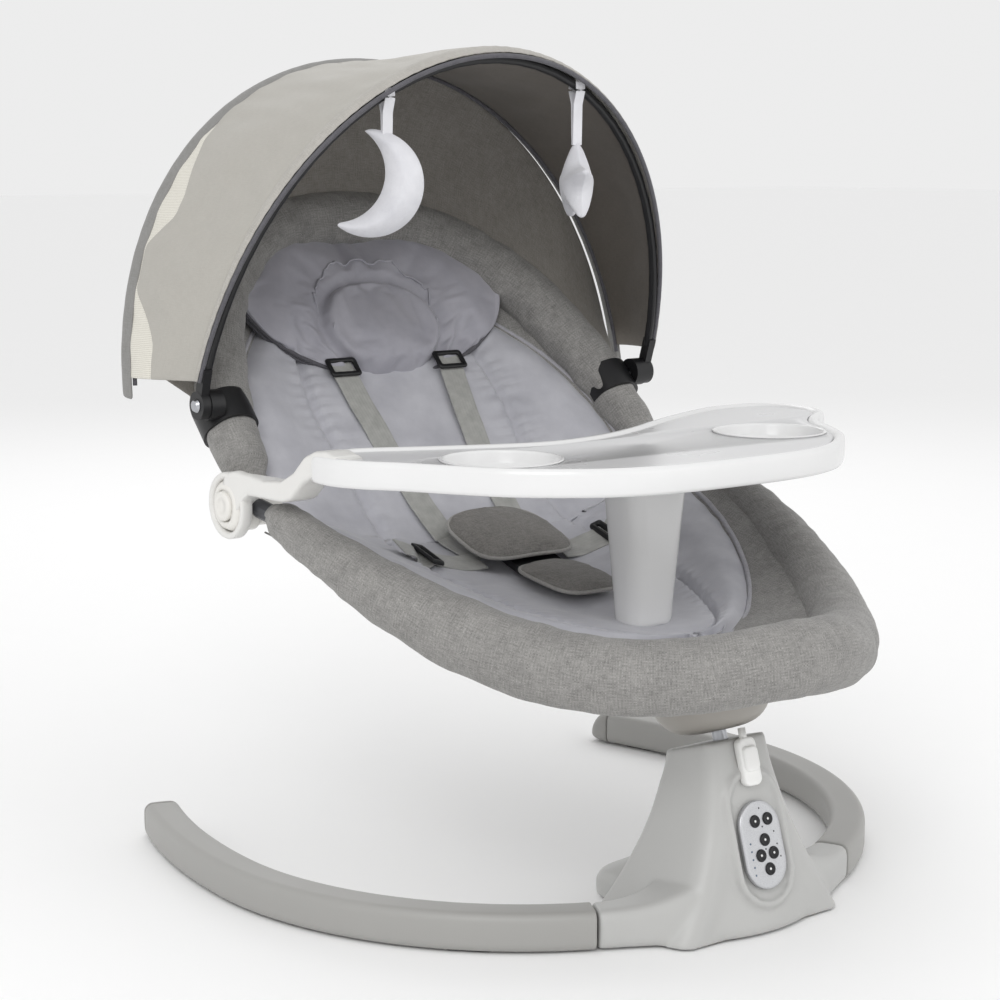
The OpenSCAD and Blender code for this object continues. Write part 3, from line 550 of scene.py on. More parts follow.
def axis_point(radius, turn, height):
    """A point round the leaning swing axis."""
    x, y = radius * math.cos(turn), radius * math.sin(turn)
    return (x, axis_y + y * math.cos(swing_tilt) + height * math.sin(swing_tilt),
            axis_z - y * math.sin(swing_tilt) + height * math.cos(swing_tilt))


head_profile = [(8, 3.2), (16, 3.4), (24, 4.2), (31, 6.2), (38, 10), (44, 17), (47.5, 25), (48.5, 33),
                (47.2, 40), (43, 46), (34, 50), (18, 51)]
head_rows = [[axis_point(r, a, h) for a in np.linspace(0, 2 * math.pi, 48, False)] for r, h in head_profile]
made = piece("swing_head_bulb", outward(lofted("swing_head_bulb", head_rows, wrap=True, caps=True)),
             head_plastic, levels=1)
stands_for(made, "seat", ["swing_head"])

# ---------------------------------------------------------------- seat rim
# A foam tube in heather polyester, pulled over the seat's steel tube. Two panels meet in a lapped seam on
# its outer side, and the cloth puckers a little where it turns round the foot end.


def woven(name, dark, light, thread=1.3, relief=0.5, mottle=0.5, source="UV", sheen=0.15, roughness=0.86):
    """Heather plain weave: dyed and undyed yarns cross, with slubs and cloudy batches; the thread is in mm.
    The pitch is drawn coarser than the real 0.5 mm so that it shows."""
    made, tree, shader = blank(name, Roughness=roughness, Sheen_Weight=sheen, Sheen_Roughness=0.5)
    place = add(tree, "ShaderNodeTexCoord").outputs[source]
    pitch = 1000 / thread
    warp_scale = add(tree, "ShaderNodeMapping", {"Vector": place, "Scale": (pitch, pitch / 7, pitch)})
    weft_scale = add(tree, "ShaderNodeMapping", {"Vector": place, "Scale": (pitch / 7, pitch, pitch)})
    warp = add(tree, "ShaderNodeTexNoise", {"Vector": warp_scale.outputs[0], "Scale": 1.0, "Detail": 2.0})
    weft = add(tree, "ShaderNodeTexNoise", {"Vector": weft_scale.outputs[0], "Scale": 1.0, "Detail": 2.0})
    cells = add(tree, "ShaderNodeMapping", {"Vector": place, "Scale": (pitch, pitch, pitch)})
    over = add(tree, "ShaderNodeTexChecker", {"Vector": cells.outputs[0], "Scale": 1.0})
    yarn = add(tree, "ShaderNodeMix", {0: over.outputs["Fac"], 2: warp.outputs["Fac"],
                                       3: weft.outputs["Fac"]})
    cloud = add(tree, "ShaderNodeTexNoise", {"Vector": place, "Scale": 1000 / 22, "Detail": 4.0})
    faint = add(tree, "ShaderNodeMath", {0: cloud.outputs["Fac"], 1: 0.3, 2: 0.35}, operation="MULTIPLY_ADD")
    blend = add(tree, "ShaderNodeMath", {0: yarn.outputs[0], 1: faint.outputs[0]}, operation="ADD")
    level = add(tree, "ShaderNodeMapRange", {0: blend.outputs[0], 1: 1 - mottle / 2, 2: 1 + mottle / 2})
    tone = add(tree, "ShaderNodeMix", {0: level.outputs[0], 6: linear(dark), 7: linear(light)},
               data_type="RGBA")
    bump = add(tree, "ShaderNodeBump", {"Height": yarn.outputs[0], "Strength": relief, "Distance": 0.0006})
    tree.links.new(tone.outputs[2], shader.inputs["Base Color"])
    tree.links.new(bump.outputs[0], shader.inputs["Normal"])
    return made


heather = woven("rim_heather_polyester", "#6f6e6c", "#a3a19e")
# Painted shade: the rim's heather drawn darker for the cover's underside.
under_heather_shaded = woven("under_heather_painted_shade", "#6b6967", "#979592")
piping_grey = woven("piping_bias_tape_grey", "#9b9aa0", "#bdbcc2", thread=1.0)
rail_w = 232
rail_c = 245
rail_a = 340
rail_e = 1.65
hub_y = 327
hub_z = 311
recline = math.radians(46)
back_len = 318
back_e = 2.3


def ease(u):
    u = min(1, max(0, u))
    return u * u * (3 - 2 * u)


def mix(a, b, u):
    return a * (1 - u) + b * u


def rail_z(y):
    if y > -30:
        return mix(214, hub_z, ease((y + 30) / (hub_y + 30)))
    return 214 + 12 * ((-30 - y) / 65) ** 2


def rail_x(y, w=rail_w, a=rail_a):
    return w * max(0, 1 - (max(0, rail_c - y) / a) ** rail_e) ** (1 / rail_e)


def signed(value, power):
    return math.copysign(abs(value) ** power, value)


def rail_point(t):
    y = rail_c - rail_a * abs(math.sin(t)) ** (2 / rail_e)
    return (rail_w * signed(math.cos(t), 2 / rail_e), y, rail_z(y))


def pucker(p, size, lift, seed=0.0):
    """Soft wrinkle height at a point in mm; size is the wrinkle's wavelength."""
    return lift * noise.noise(Vector((p[0] / size + seed, p[1] / size, p[2] / size)))


def even(points, count):
    """Resamples a polyline in mm to evenly spaced points."""
    points = np.asarray(points, float)
    far = np.concatenate([[0], np.cumsum(np.linalg.norm(np.diff(points, axis=0), axis=1))])
    at = np.linspace(0, far[-1], count)
    return np.stack([np.interp(at, far, points[:, k]) for k in range(3)], axis=1)


right_run = [(rail_w, y, rail_z(y)) for y in np.linspace(286, 247, 8)]
foot_run = [rail_point(t) for t in np.radians(np.linspace(1, 179, 240))]
left_run = [(-rail_w, y, rail_z(y)) for y in np.linspace(247, 286, 8)]
rim_line = even(right_run + foot_run + left_run, 220)


def rim_radius(y):
    return mix(28.5, 15.5, ease((y - 40) / (hub_y - 60)))


rim_rows = []
ahead = np.gradient(rim_line, axis=0)
for i, p in enumerate(rim_line):
    t = ahead[i] / np.linalg.norm(ahead[i])
    side = np.cross(t, (0, 0, 1))
    side /= np.linalg.norm(side)
    over = np.cross(side, t)
    r = rim_radius(p[1]) * min(1, 0.55 + 0.45 * ease(min(i, len(rim_line) - 1 - i) / 5))
    ring = []
    for a in np.radians(np.arange(0, 360, 9)):
        seam = math.exp(-((math.degrees(a) - 342) / 5) ** 2) + math.exp(-((math.degrees(a) - 190) / 5) ** 2)
        wave = pucker((i * 5.2, 40 * math.cos(a), 40 * math.sin(a)), 26, 1.5)
        wave += pucker((i * 5.2, 9 * a, 0), 9, 0.7)
        out = r + wave - 1.3 * seam
        ring.append(p + out * (math.cos(a) * side + math.sin(a) * over * (1.0 if math.sin(a) > 0 else 1.04)))
    rim_rows.append(ring)
rim = outward(lofted("seat_rim", rim_rows, wrap=True, caps=True))
made = piece("seat_rim", rim, heather, levels=1)
stands_for(made, "seat", ["front_rim_cover"])


def tube(name, path, radius, finish, sides=8, up=(0, 0, 1), closed=False, levels=0):
    """Piping, cord or wire along a path in mm."""
    ring = [(radius * math.cos(a), radius * math.sin(a)) for a in np.linspace(0, 2 * math.pi, sides, False)]
    return piece(name, outward(swept(name, path, np.array(ring), up=up, closed=closed)), finish,
                 levels=levels)


# ---------------------------------------------------------------- under cover
# The cover's lower skin. It is stapled under the rim and drawn tight round the swing head by an elastic
# hem, so it falls in small gathers there. Its heather is drawn darker than the rim's, as painted shade on the
# underside.

under_rows = []
for i, p in enumerate(rim_line):
    lower = p + np.array([0, 0, -rim_radius(p[1]) * 0.97])
    t = math.pi * i / (len(rim_line) - 1)
    ring = np.array([47 * math.cos(t), 12 - 45 * math.sin(t), 184 + 8 * (1 - math.sin(t))])
    if i in (0, len(rim_line) - 1):
        ring = ring + np.array([0, 4, 0])
    line = []
    for v in np.linspace(0, 1, 22):
        q = mix(lower, ring, v)
        q[2] = mix(lower[2], ring[2], ease(v) ** 0.75) - 3 * math.sin(math.pi * v)
        gather = math.sin(i * 1.05) * 1.8 * ease((v - 0.72) / 0.28)
        q += np.array([0, 0, gather + pucker(q, 22, 2.0, 4) * math.sin(math.pi * v)])
        line.append(q)
    under_rows.append(line)
under = lofted("under_cover_skin", under_rows)
made = piece("under_cover_skin", under, under_heather_shaded, thick=1.6, offset=0)
stands_for(made, "seat", ["under_cover"])

heel_rows = []
for v in np.linspace(0, 1, 16):
    line = []
    for u in np.linspace(-1, 1, 40):
        front = np.array([u * 47, 14, 192])
        rear = np.array([u * (rail_w - 12), 318, 288 - 62 * (1 - abs(u) ** 2.2)])
        q = mix(front, rear, v)
        q[2] = mix(front[2], rear[2], v ** 1.3) + pucker(q, 30, 2.5, 7)
        line.append(q)
    heel_rows.append(line)
made = piece("under_cover_rear", lofted("under_cover_rear", heel_rows), under_heather_shaded, thick=1.6, offset=0)
stands_for(made, "seat", ())

# ---------------------------------------------------------------- liner
# A quilted liner of brushed polyester satin runs from the foot end up the backrest in one piece: two side
# bolsters are set in with puckered seams, and a bias tape binds its edge.


def satin(name, dark, light, roughness=0.62, sheen=0.4, weave=0.9, relief=0.25, source="Object"):
    """Brushed polyester satin: a fine even twill that is drawn at a pitch in mm, soft sheen, pale nap."""
    made, tree, shader = blank(name, Roughness=roughness, Sheen_Weight=sheen, Sheen_Roughness=0.35)
    place = add(tree, "ShaderNodeTexCoord").outputs[source]
    nap = add(tree, "ShaderNodeTexNoise", {"Vector": place, "Scale": 1000 / 35, "Detail": 5.0,
                                           "Roughness": 0.6})
    thread = add(tree, "ShaderNodeTexNoise", {"Vector": place, "Scale": 1000 / weave, "Detail": 2.0})
    level = add(tree, "ShaderNodeMapRange", {0: nap.outputs["Fac"], 1: 0.3, 2: 0.7})
    tone = add(tree, "ShaderNodeMix", {0: level.outputs[0], 6: linear(dark), 7: linear(light)},
               data_type="RGBA")
    bump = add(tree, "ShaderNodeBump", {"Height": thread.outputs["Fac"], "Strength": relief,
                                        "Distance": 0.0005})
    tree.links.new(tone.outputs[2], shader.inputs["Base Color"])
    tree.links.new(bump.outputs[0], shader.inputs["Normal"])
    return made


liner_satin = satin("liner_polyester_satin", "#b4b4bb", "#c5c5cb")


def back_point(x, s, d):
    """x across, s up the backrest from the hinge, d out of it towards the baby."""
    return np.array([x, hub_y + s * math.cos(recline) - d * math.sin(recline),
                     hub_z + s * math.sin(recline) + d * math.cos(recline)])


def back_x(s, reach=back_len, w=220):
    return w * max(0, 1 - (max(0, s) / reach) ** back_e) ** (1 / back_e)


def floor_z(y):
    return 217 + 33 * (max(0, y - 60) / 240) ** 1.6 + 10 * (max(0, 40 - y) / 100) ** 2


def bowl_half(y):
    return rail_x(y, rail_w - 10, rail_a - 10)


def bowl_z(x, y):
    """Height of the cover's inner skin: flat under the liner, rising to the top of the padded rim."""
    au = min(1.03, abs(x) / max(1, bowl_half(y)))
    return floor_z(y) - 7 + (rail_z(y) + 0.5 * rim_radius(y) - floor_z(y) + 7) * au ** 2.3


def cover_point(k, u, half_seat, half_back, foot, top, drop=0.0):
    """k runs from the foot end, 0, over the hinge, 1, up the backrest, 2; u runs across, -1 to 1."""
    y = mix(foot, 300, min(1, k))
    x = u * half_seat(y)
    seat = np.array([x, y, bowl_z(x, y) - drop])
    if k < 0.84:
        return seat
    s = mix(-38, top, k - 1) if k > 1 else -38
    x = u * half_back(max(0, s))
    au = min(1.03, abs(x) / max(1, back_x(max(0, s), back_len - 6, 212)))
    back = back_point(x, s, -drop - 38 * (1 - au ** 3) * (1 - 0.45 * (max(0, s) / back_len) ** 3))
    return mix(seat, back, ease((k - 0.84) / 0.3))


def liner_half(y):
    return 206 * max(0, 1 - ((300 - y) / 275) ** 2) ** 0.6


def liner_back_half(s):
    return 200 * max(0, 1 - (s / 262) ** 2.4) ** 0.6


def liner_point(k, u, drop=0.0):
    return cover_point(k, u, liner_half, liner_back_half, 25.5, 261, drop)


def liner_top(k, u):
    """The quilted surface: crowns between the seams, a fold at the bolster seam and puckers beside it."""
    base = liner_point(k, u)
    au = abs(u)
    seam_u = 0.5 + 0.28 * max(0, k - 1.25) if k > 1 else mix(0.66, 0.5, k)
    crown = 4 + 8 * (1 - au ** 4) + 5 * math.exp(-((au - 0.82) / 0.13) ** 2)
    seam = 7.0 * math.exp(-((au - seam_u) / 0.022) ** 2)
    near = math.exp(-((au - seam_u) / 0.10) ** 2)
    beside = near * min(1, abs(au - seam_u) * 30)
    ripple = 1.5 * math.sin(k * 150 + 6 * noise.noise(Vector((k * 9, u * 3, 0)))) * beside
    fold = pucker(base, 46, 6.0, 2) * (1 - au ** 6) + pucker(base, 19, 1.8, 9)
    edge = 8.0 * au ** 14
    up = np.array([0, -math.sin(recline), math.cos(recline)]) if k > 1 else np.array([0, 0, 1.0])
    return base + up * (crown - seam + ripple + fold * 0.5 - edge)


ks = np.concatenate([np.linspace(0.0, 0.1, 22)[:-1], np.linspace(0.1, 1.93, 165),
                     np.linspace(1.935, 1.999, 16)])
us = np.linspace(-1, 1, 113)
liner_rows = [[liner_top(k, u) for u in us] for k in ks]
made = piece("quilted_liner", lofted("quilted_liner", liner_rows), liner_satin, thick=7, offset=-1)
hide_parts("seat_liner", "back_liner")
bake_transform(made)

edge_line = [liner_top(k, 1) + np.array([0, 0, 3.0]) for k in ks[::2]]
edge_line = [np.array([-p[0], p[1], p[2]]) for p in edge_line[::-1]] + edge_line
made = tube("liner_binding", even(edge_line, 360), 2.3, piping_grey)
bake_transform(made)

# The cover's own cloth hangs below the liner, and closes the seat and the backrest from behind.
def sling_point(k, u):
    p = cover_point(k, u, bowl_half, lambda s: back_x(s, back_len - 8, 208), -78, 304)
    return p + np.array([0, 0, 1]) * pucker(p, 60, 5.0, 12) * (1 - u * u)


sling_rows = [[sling_point(k, u) for u in np.linspace(-1, 1, 81)] for k in np.linspace(0.0, 2.0, 120)]
made = piece("seat_cover_sling", lofted("seat_cover_sling", sling_rows), heather, thick=2.0, offset=-1,
             levels=1)
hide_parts("seat_sling", "back_sling")
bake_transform(made)

# ---------------------------------------------------------------- backrest rim
# The same foam and heather cloth over the backrest tube. It thins towards the hubs, where the rims meet.

back_turns = np.radians(np.linspace(2.2, 177.8, 240))
back_line = even([back_point(220 * signed(math.cos(t), 2 / back_e), back_len * math.sin(t) ** (2 / back_e), 0)
                  for t in back_turns], 200)
rim_rows = []
ahead = np.gradient(back_line, axis=0)
plane_up = np.array([0, -math.sin(recline), math.cos(recline)])
for i, p in enumerate(back_line):
    t = ahead[i] / np.linalg.norm(ahead[i])
    side = np.cross(t, plane_up)
    s = (p[2] - hub_z) / math.sin(recline)
    r = mix(18, 25.5, ease(s / 170)) * min(1, 0.6 + 0.4 * ease(min(i, len(back_line) - 1 - i) / 5))
    ring = []
    for a in np.radians(np.arange(0, 360, 10)):
        wave = pucker((i * 4.5, 40 * math.cos(a), 40 * math.sin(a)), 21, 2.2, 3)
        wave += pucker((i * 4.5, 12 * a, 5), 8, 0.9)
        flat = 1.22 if math.cos(a) < 0 else 1.0
        ring.append(p + (r + wave) * (flat * math.cos(a) * side + math.sin(a) * plane_up))
    rim_rows.append(ring)
made = piece("backrest_rim", outward(lofted("backrest_rim", rim_rows, wrap=True, caps=True)), heather,
             levels=1)
stands_for(made, "backrest", ["back_rim_cover"])

# ---------------------------------------------------------------- pillow
# A head pillow of the same satin with a set-in head pad, filled with polyester fibre and bound with dark
# piping. It is held by elastic loops behind the backrest. Its satin is drawn darker than the liner's, as
# painted shade under the hood.


def inflated(name, mesh, held, pressure, growth, cap, frames=20):
    """Blows a closed mesh up as cloth with its seams held, which puckers the cloth beside them."""
    made = bpy.data.objects.new(name + "_sim", mesh)
    scene.collection.objects.link(made)
    group = made.vertex_groups.new(name="seam")
    for index, weight in held:
        group.add([index], weight, "REPLACE")
    step = made.modifiers.new("cloth", "CLOTH")
    step.settings.quality = 6
    step.settings.mass = 0.15
    step.settings.use_pressure = True
    step.settings.uniform_pressure_force = pressure
    step.settings.effector_weights.gravity = 0
    step.settings.shrink_min = -growth
    step.settings.bending_stiffness = 0.3
    if held:
        step.settings.vertex_group_mass = "seam"
    step.point_cache.frame_start = 1
    step.point_cache.frame_end = frames
    for frame_no in range(1, frames + 1):
        scene.frame_set(frame_no)
    result = bpy.data.meshes.new_from_object(made.evaluated_get(bpy.context.evaluated_depsgraph_get()))
    for old, new in zip(mesh.vertices, result.vertices):
        gone = new.co - old.co
        if gone.length > cap * MM:
            new.co = old.co + gone.normalized() * cap * MM
    bpy.data.objects.remove(made)
    scene.frame_set(1)
    return result


def cushion(name, outline, thick, place, count=44, under=0.5, pinch=()):
    """A closed pad: outline(turn) is its edge, place(x, y, z) sets it, pinch lists depth, width and test."""
    k = np.linspace(-1, 1, count)
    points, faces, index = [], [], {}

    def flat(u, v):
        x, y = u * math.sqrt(1 - v * v / 2), v * math.sqrt(1 - u * u / 2)
        rho, turn = min(1, math.hypot(x, y)), math.atan2(y, x)
        ex, ey = outline(turn)
        return rho, rho * ex, rho * ey

    for level, sign in ((0, 1), (1, -under)):
        for i, v in enumerate(k):
            for j, u in enumerate(k):
                edge = i in (0, count - 1) or j in (0, count - 1)
                if level and edge:
                    index[level, i, j] = index[0, i, j]
                    continue
                rho, x, y = flat(u, v)
                z = sign * thick * math.sqrt(max(0, 1 - rho ** 2.4))
                if not level:
                    for depth, width, test in pinch:
                        z -= depth * math.exp(-(test(x, y) / width) ** 2)
                index[level, i, j] = len(points)
                points.append(place(x, y, z))
        for i in range(count - 1):
            for j in range(count - 1):
                a, b = index[level, i, j], index[level, i, j + 1]
                c, d = index[level, i + 1, j + 1], index[level, i + 1, j]
                faces.append([a, b, c, d] if level == 0 else [d, c, b, a])
    last = count - 1
    border = [(0, j) for j in range(count)] + [(i, last) for i in range(1, count)]
    border += [(last, j) for j in range(last - 1, -1, -1)] + [(i, 0) for i in range(last - 1, 0, -1)]
    rim = [index[0, i, j] for i, j in border]
    inner = [(flat(u, v)[1:], index[0, i, j]) for i, v in enumerate(k) for j, u in enumerate(k)]
    return fresh(name, points, faces), rim, inner


def squarish(w, h, e, top=1.0):
    """Superellipse outline; top above 1 squares the upper half more."""
    def edge(turn):
        c, s = math.cos(turn), math.sin(turn)
        p = e * (top if s > 0 else 1)
        r = (abs(c) ** p + abs(s) ** p) ** (-1 / p)
        return w * r * c, h * r * s
    return edge


pillow_s = 232


def pillow_place(x, y, z):
    wing = 20 * (x / 150) ** 2 - 6
    return back_point(x, pillow_s + y, -14 + wing + z + 0.06 * y)


def head_pad(x, y):
    """Distance from the seam of the set-in head pad."""
    return (math.hypot(x / 66, (y + 42) / 50) - 1) * 58


# Painted shade: the liner's satin drawn darker for the pillow under the hood.
pillow_satin_shaded = satin("pillow_satin_painted_shade", "#a3a2ab", "#b3b2ba", sheen=0.5)
piping_dark = woven("piping_bias_tape_dark", "#4c4b50", "#67666b", thread=1.0)
pillow_outline = squarish(147, 90, 2.15, 1.15)
pillow_mesh, pillow_rim, pillow_inner = cushion("pillow_pad", pillow_outline, 21, pillow_place, count=64,
                                                under=0.35, pinch=[(11, 5, head_pad)])
held = [(i, 1.0) for i in pillow_rim]
held += [(i, 1.0) for (x, y), i in pillow_inner if abs(head_pad(x, y)) < 2.4]
pillow_mesh = inflated("pillow_pad", pillow_mesh, held, pressure=2.2, growth=0.07, cap=9)
made = piece("pillow_pad", pillow_mesh, pillow_satin_shaded, levels=1)
stands_for(made, "backrest", ["pillow"])
rim_points = [np.array(pillow_mesh.vertices[i].co) / MM for i in pillow_rim]
for shift, name in ((0.0, "pillow_piping"), (-4.2, "pillow_piping_rear")):
    line = even([p + plane_up * shift for p in rim_points] + [rim_points[0] + plane_up * shift], 260)[:-1]
    made = tube(name, line, 2.0, piping_dark, up=plane_up, closed=True)
    stands_for(made, "backrest", ())
pad_seam = [pillow_place(66 * math.cos(a), -42 + 50 * math.sin(a), 0)
            for a in np.linspace(math.radians(-28), math.radians(208), 70)]
seam_line = []
upper_side = np.array([v.co for v in pillow_mesh.vertices[:64 * 64]]) / MM
for p in pad_seam:
    near = np.argmin(np.linalg.norm(upper_side[:, :2] - p[:2], axis=1))
    seam_line.append(upper_side[near] + plane_up * 0.6)
made = tube("head_pad_cord", even(seam_line, 90), 1.0, pillow_satin_shaded, up=plane_up)
stands_for(made, "backrest", ())

# ---------------------------------------------------------------- harness
# Five-point harness: 25 mm polyester webbing with a satin face, black acetal slides, a big pad over the
# buckle and a crotch pad below it.

webbing, tree, shader = blank("webbing_polyester_satin", Roughness=0.42, Sheen_Weight=0.3)
place = add(tree, "ShaderNodeTexCoord").outputs["UV"]
ribs = add(tree, "ShaderNodeTexWave", {"Vector": place, "Scale": 1000 / 1.6 / 6.283, "Distortion": 0.4},
           bands_direction="X")
nap = add(tree, "ShaderNodeTexNoise", {"Vector": place, "Scale": 1000 / 9, "Detail": 3.0})
tone = add(tree, "ShaderNodeMix", {0: nap.outputs["Fac"], 6: linear("#8f8f8c"), 7: linear("#bcbcb8")},
           data_type="RGBA")
bump = add(tree, "ShaderNodeBump", {"Height": ribs.outputs["Fac"], "Strength": 0.3, "Distance": 0.0004})
tree.links.new(tone.outputs[2], shader.inputs["Base Color"])
tree.links.new(bump.outputs[0], shader.inputs["Normal"])


def ribbon(name, path, width, up, finish, thick=1.3, steps=60):
    """Webbing: a flat band that follows a path in mm."""
    line = even(path, steps)
    ahead = np.gradient(line, axis=0)
    rows = []
    for i, p in enumerate(line):
        t = ahead[i] / np.linalg.norm(ahead[i])
        n = np.asarray(up(i / (steps - 1)) if callable(up) else up, float)
        side = np.cross(t, n)
        side /= np.linalg.norm(side)
        rows.append([p + side * width * (v - 0.5) for v in np.linspace(0, 1, 7)])
    return piece(name, lofted(name, rows), finish, thick=thick, offset=0, bevel=0.3)


def liner_at(k, x):
    """A point on the liner's top at a distance x from its middle line."""
    span = liner_point(k, 1)[0]
    return liner_top(k, x / span)


adjuster_steps = ((31, 19, 3, 0), (33, 21, 3.5, 1.2), (33, 21, 3.5, 2.2), (31, 19, 3, 3.2),
                  (25, 12.5, 2, 3.2), (24, 11.5, 1.6, 2.2), (24, 11.5, 1.6, 1), (25, 12.5, 2, 0),
                  (31, 19, 3, 0))
slide_steps = ((12, 33, 2, 0.4), (13, 34, 2.5, 1.6), (13, 34, 2.5, 3), (12, 33, 2, 4), (5, 27, 1, 4),
               (4.5, 26.5, 1, 0.4), (12, 33, 2, 0.4))
upright = np.array([0, 0, 1])
up_slope = np.array([0, math.cos(recline), math.sin(recline)])
for side, name in ((-1, "shoulder_strap_left"), (1, "shoulder_strap_right")):
    line = []
    for k in np.linspace(1.66, 0.86, 40):
        x = side * mix(36, 62, (k - 0.86) / 0.8)
        lift = 3.2 + 2 * math.sin(9 * k)
        line.append(liner_at(k, x) + (plane_up if k > 1 else upright) * lift)
    made = ribbon(name, line, 26, plane_up, webbing)
    if side < 0:
        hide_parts("shoulder_straps")
    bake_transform(made)
    spot = liner_at(1.62, side * 60) + plane_up * 6.2
    frame_rows = []
    for w, h, r, lift in adjuster_steps:
        frame_rows.append([spot + np.array([x, 0, 0]) + y * up_slope + plane_up * lift
                           for x, y in rounded(w, h, r)])
    loop = lofted(name + "_slide", frame_rows, wrap=True)
    made = piece(name + "_slide", outward(loop), black_pom)
    stands_for(made, "backrest", ["strap_adjusters"] if side < 0 else ())

pad_cloth = woven("harness_pad_heather", "#64625f", "#8f8c88", source="Object", thread=1.2)
pad_edge = woven("harness_binding", "#8d8b88", "#aeaca9", thread=1.0)
pad_tilt = math.radians(20)


def big_place(x, y, z):
    lift = 8 - 0.0016 * x * x
    return np.array([x, 268 + y * math.cos(pad_tilt) - z * math.sin(pad_tilt),
                     floor_z(268) + 20 + lift + y * math.sin(pad_tilt) + z * math.cos(pad_tilt)])


def crotch_place(x, y, z):
    tilt = math.radians(8)
    return np.array([x, 184 + y * math.cos(tilt) - z * math.sin(tilt),
                     floor_z(184) + 15 + y * math.sin(tilt) + z * math.cos(tilt)])


for name, outline, place_at, covered in (("buckle_pad", squarish(52, 42, 3.4), big_place, ["harness_pads"]),
                                         ("crotch_pad", squarish(33, 40, 4), crotch_place, ())):
    mesh, rim_index, inner = cushion(name, outline, 6.5, place_at, count=34, under=0.7)
    mesh = inflated(name, mesh, [(i, 1.0) for i in rim_index], pressure=1.2, growth=0.03, cap=4)
    made = piece(name, mesh, pad_cloth, levels=1)
    stands_for(made, "seat", covered)
    line = [np.array(mesh.vertices[i].co) / MM for i in rim_index]
    made = tube(name + "_binding", even(line + line[:1], 150)[:-1], 1.7, pad_edge, closed=True)
    stands_for(made, "seat", ())

for side, name in ((-1, "waist_strap_left"), (1, "waist_strap_right")):
    line = [liner_at(0.83, side * x) + np.array([0, 0, 5 + 3 * math.sin(x / 16)])
            for x in np.linspace(128, 44, 24)]
    made = ribbon(name, line, 26, (0, -0.35, 1), webbing)
    stands_for(made, "seat", ["waist_straps"] if side < 0 else ())
    spot = np.array(line[8])
    frame_rows = []
    for w, h, r, lift in slide_steps:
        slant = [np.array([x, y, lift + 0.28 * side * x + 0.3 * y]) for x, y in rounded(w, h, r)]
        frame_rows.append([spot + p for p in slant])
    made = piece(name + "_slide", outward(lofted(name + "_slide", frame_rows, wrap=True)), black_pom)
    stands_for(made, "seat", ["waist_slides"] if side < 0 else ())

# ---------------------------------------------------------------- canopy
# The hood is one light semi-sheer polyester skin between the folding front bow and the fixed rear hoop,
# with cream net insets low on both sides and a bound front edge. A dark brown-grey sheet just inside the skin
# is painted shade for the hood's shaded inside.

pivot = (375, 390)
bow_w = 246
bow_reach = 304
hood_cloth = woven("hood_polyester_pongee", "#a5a29b", "#b8b5ae", thread=0.9, relief=0.3, mottle=0.9,
                   roughness=0.75)
# Painted shade: a darker copy of the hood cloth, laid as a sheet inside the hood to stand for the shade
# there.
hood_inside_shade_cloth = woven("hood_inside_painted_shade", "#5f5952", "#7a746c", thread=0.9, relief=0.3, mottle=0.9,
                     roughness=0.8)
band_cloth = woven("band_polyester_grey", "#7f7e7b", "#929190", thread=1.0)
panel_cloth = woven("rear_panel_heather", "#77736d", "#98948e", thread=1.2)


def fan_arch(w, r, phi, t):
    c, a = math.cos(t), math.radians(phi)
    return np.array([w * c, pivot[0] + r * math.sin(t) * math.cos(a),
                     pivot[1] + r * math.sin(t) * math.sin(a)])


def hoop_arch(w, t):
    h = max(0, math.sin(t)) ** 0.95
    return np.array([w * math.cos(t), mix(447, 493, h), mix(385, 685, h)])


def net_share(t):
    """How much of the width between the bows is net, at an angle in degrees up from the foot of the arch."""
    return float(np.interp(t, [0, 4, 9, 18, 26, 31, 38, 46, 57, 90],
                           [0.5, 0.5, 0.46, 0.07, 0.06, 0.27, 0.2, 0.09, 0, 0]))


def hood_point(t, v, gap=0.0):
    """v runs from the front bow, 0, to the rear hoop, 1. The cloth sags and wrinkles between them."""
    front = fan_arch(bow_w + 8 + gap, bow_reach + 9 + gap, 106.5, t)
    rear = hoop_arch(275 + gap, t)
    p = mix(front, rear, v)
    tight = math.sin(math.pi * v)
    out = np.array([math.cos(t), 0.0, math.sin(t)])
    sag = -4 * tight * math.sin(t) + 9 * tight * math.cos(t) ** 2
    long_fold = 3.6 * noise.noise(Vector((t * 5.0 + 3, v * 1.3, 0.0)))
    long_fold += 1.9 * noise.noise(Vector((t * 15 + v * 3, v * 2.2, 4.0)))
    pull = 2.2 * math.sin(t * 46 + 3 * v) * math.exp(-min(v, 1 - v) * 9)
    edge = 1.3 * math.sin(t * 110) * math.exp(-min(v, 1 - v) * 30)
    return p + out * (sag + long_fold * tight * 1.6 + (pull + edge) * 0.6 * min(1, tight * 5))


def cloth_strip(name, point, ts, vs, finish, thick=0.9):
    rows = [[point(t, v) for v in vs(t)] for t in ts]
    return piece(name, lofted(name, rows), finish, thick=thick, offset=0, levels=1)


low = math.radians(4)
arch = np.linspace(low, math.pi - low, 150)
across = np.linspace(0, 1, 34)


def arch_degrees(t):
    return min(math.degrees(t), 180 - math.degrees(t))


made = cloth_strip("hood_skin", hood_point, arch, lambda t: across * (1 - net_share(arch_degrees(t))),
                   hood_cloth)
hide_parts("hood_shell")
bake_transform(made)
# The dark inner sheet paints the shade inside the hood.
made = cloth_strip("hood_lining", lambda t, v: hood_point(t, v, -3.2), arch[::2],
                   lambda t: np.linspace(0.02, 0.985, 24), hood_inside_shade_cloth)
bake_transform(made)

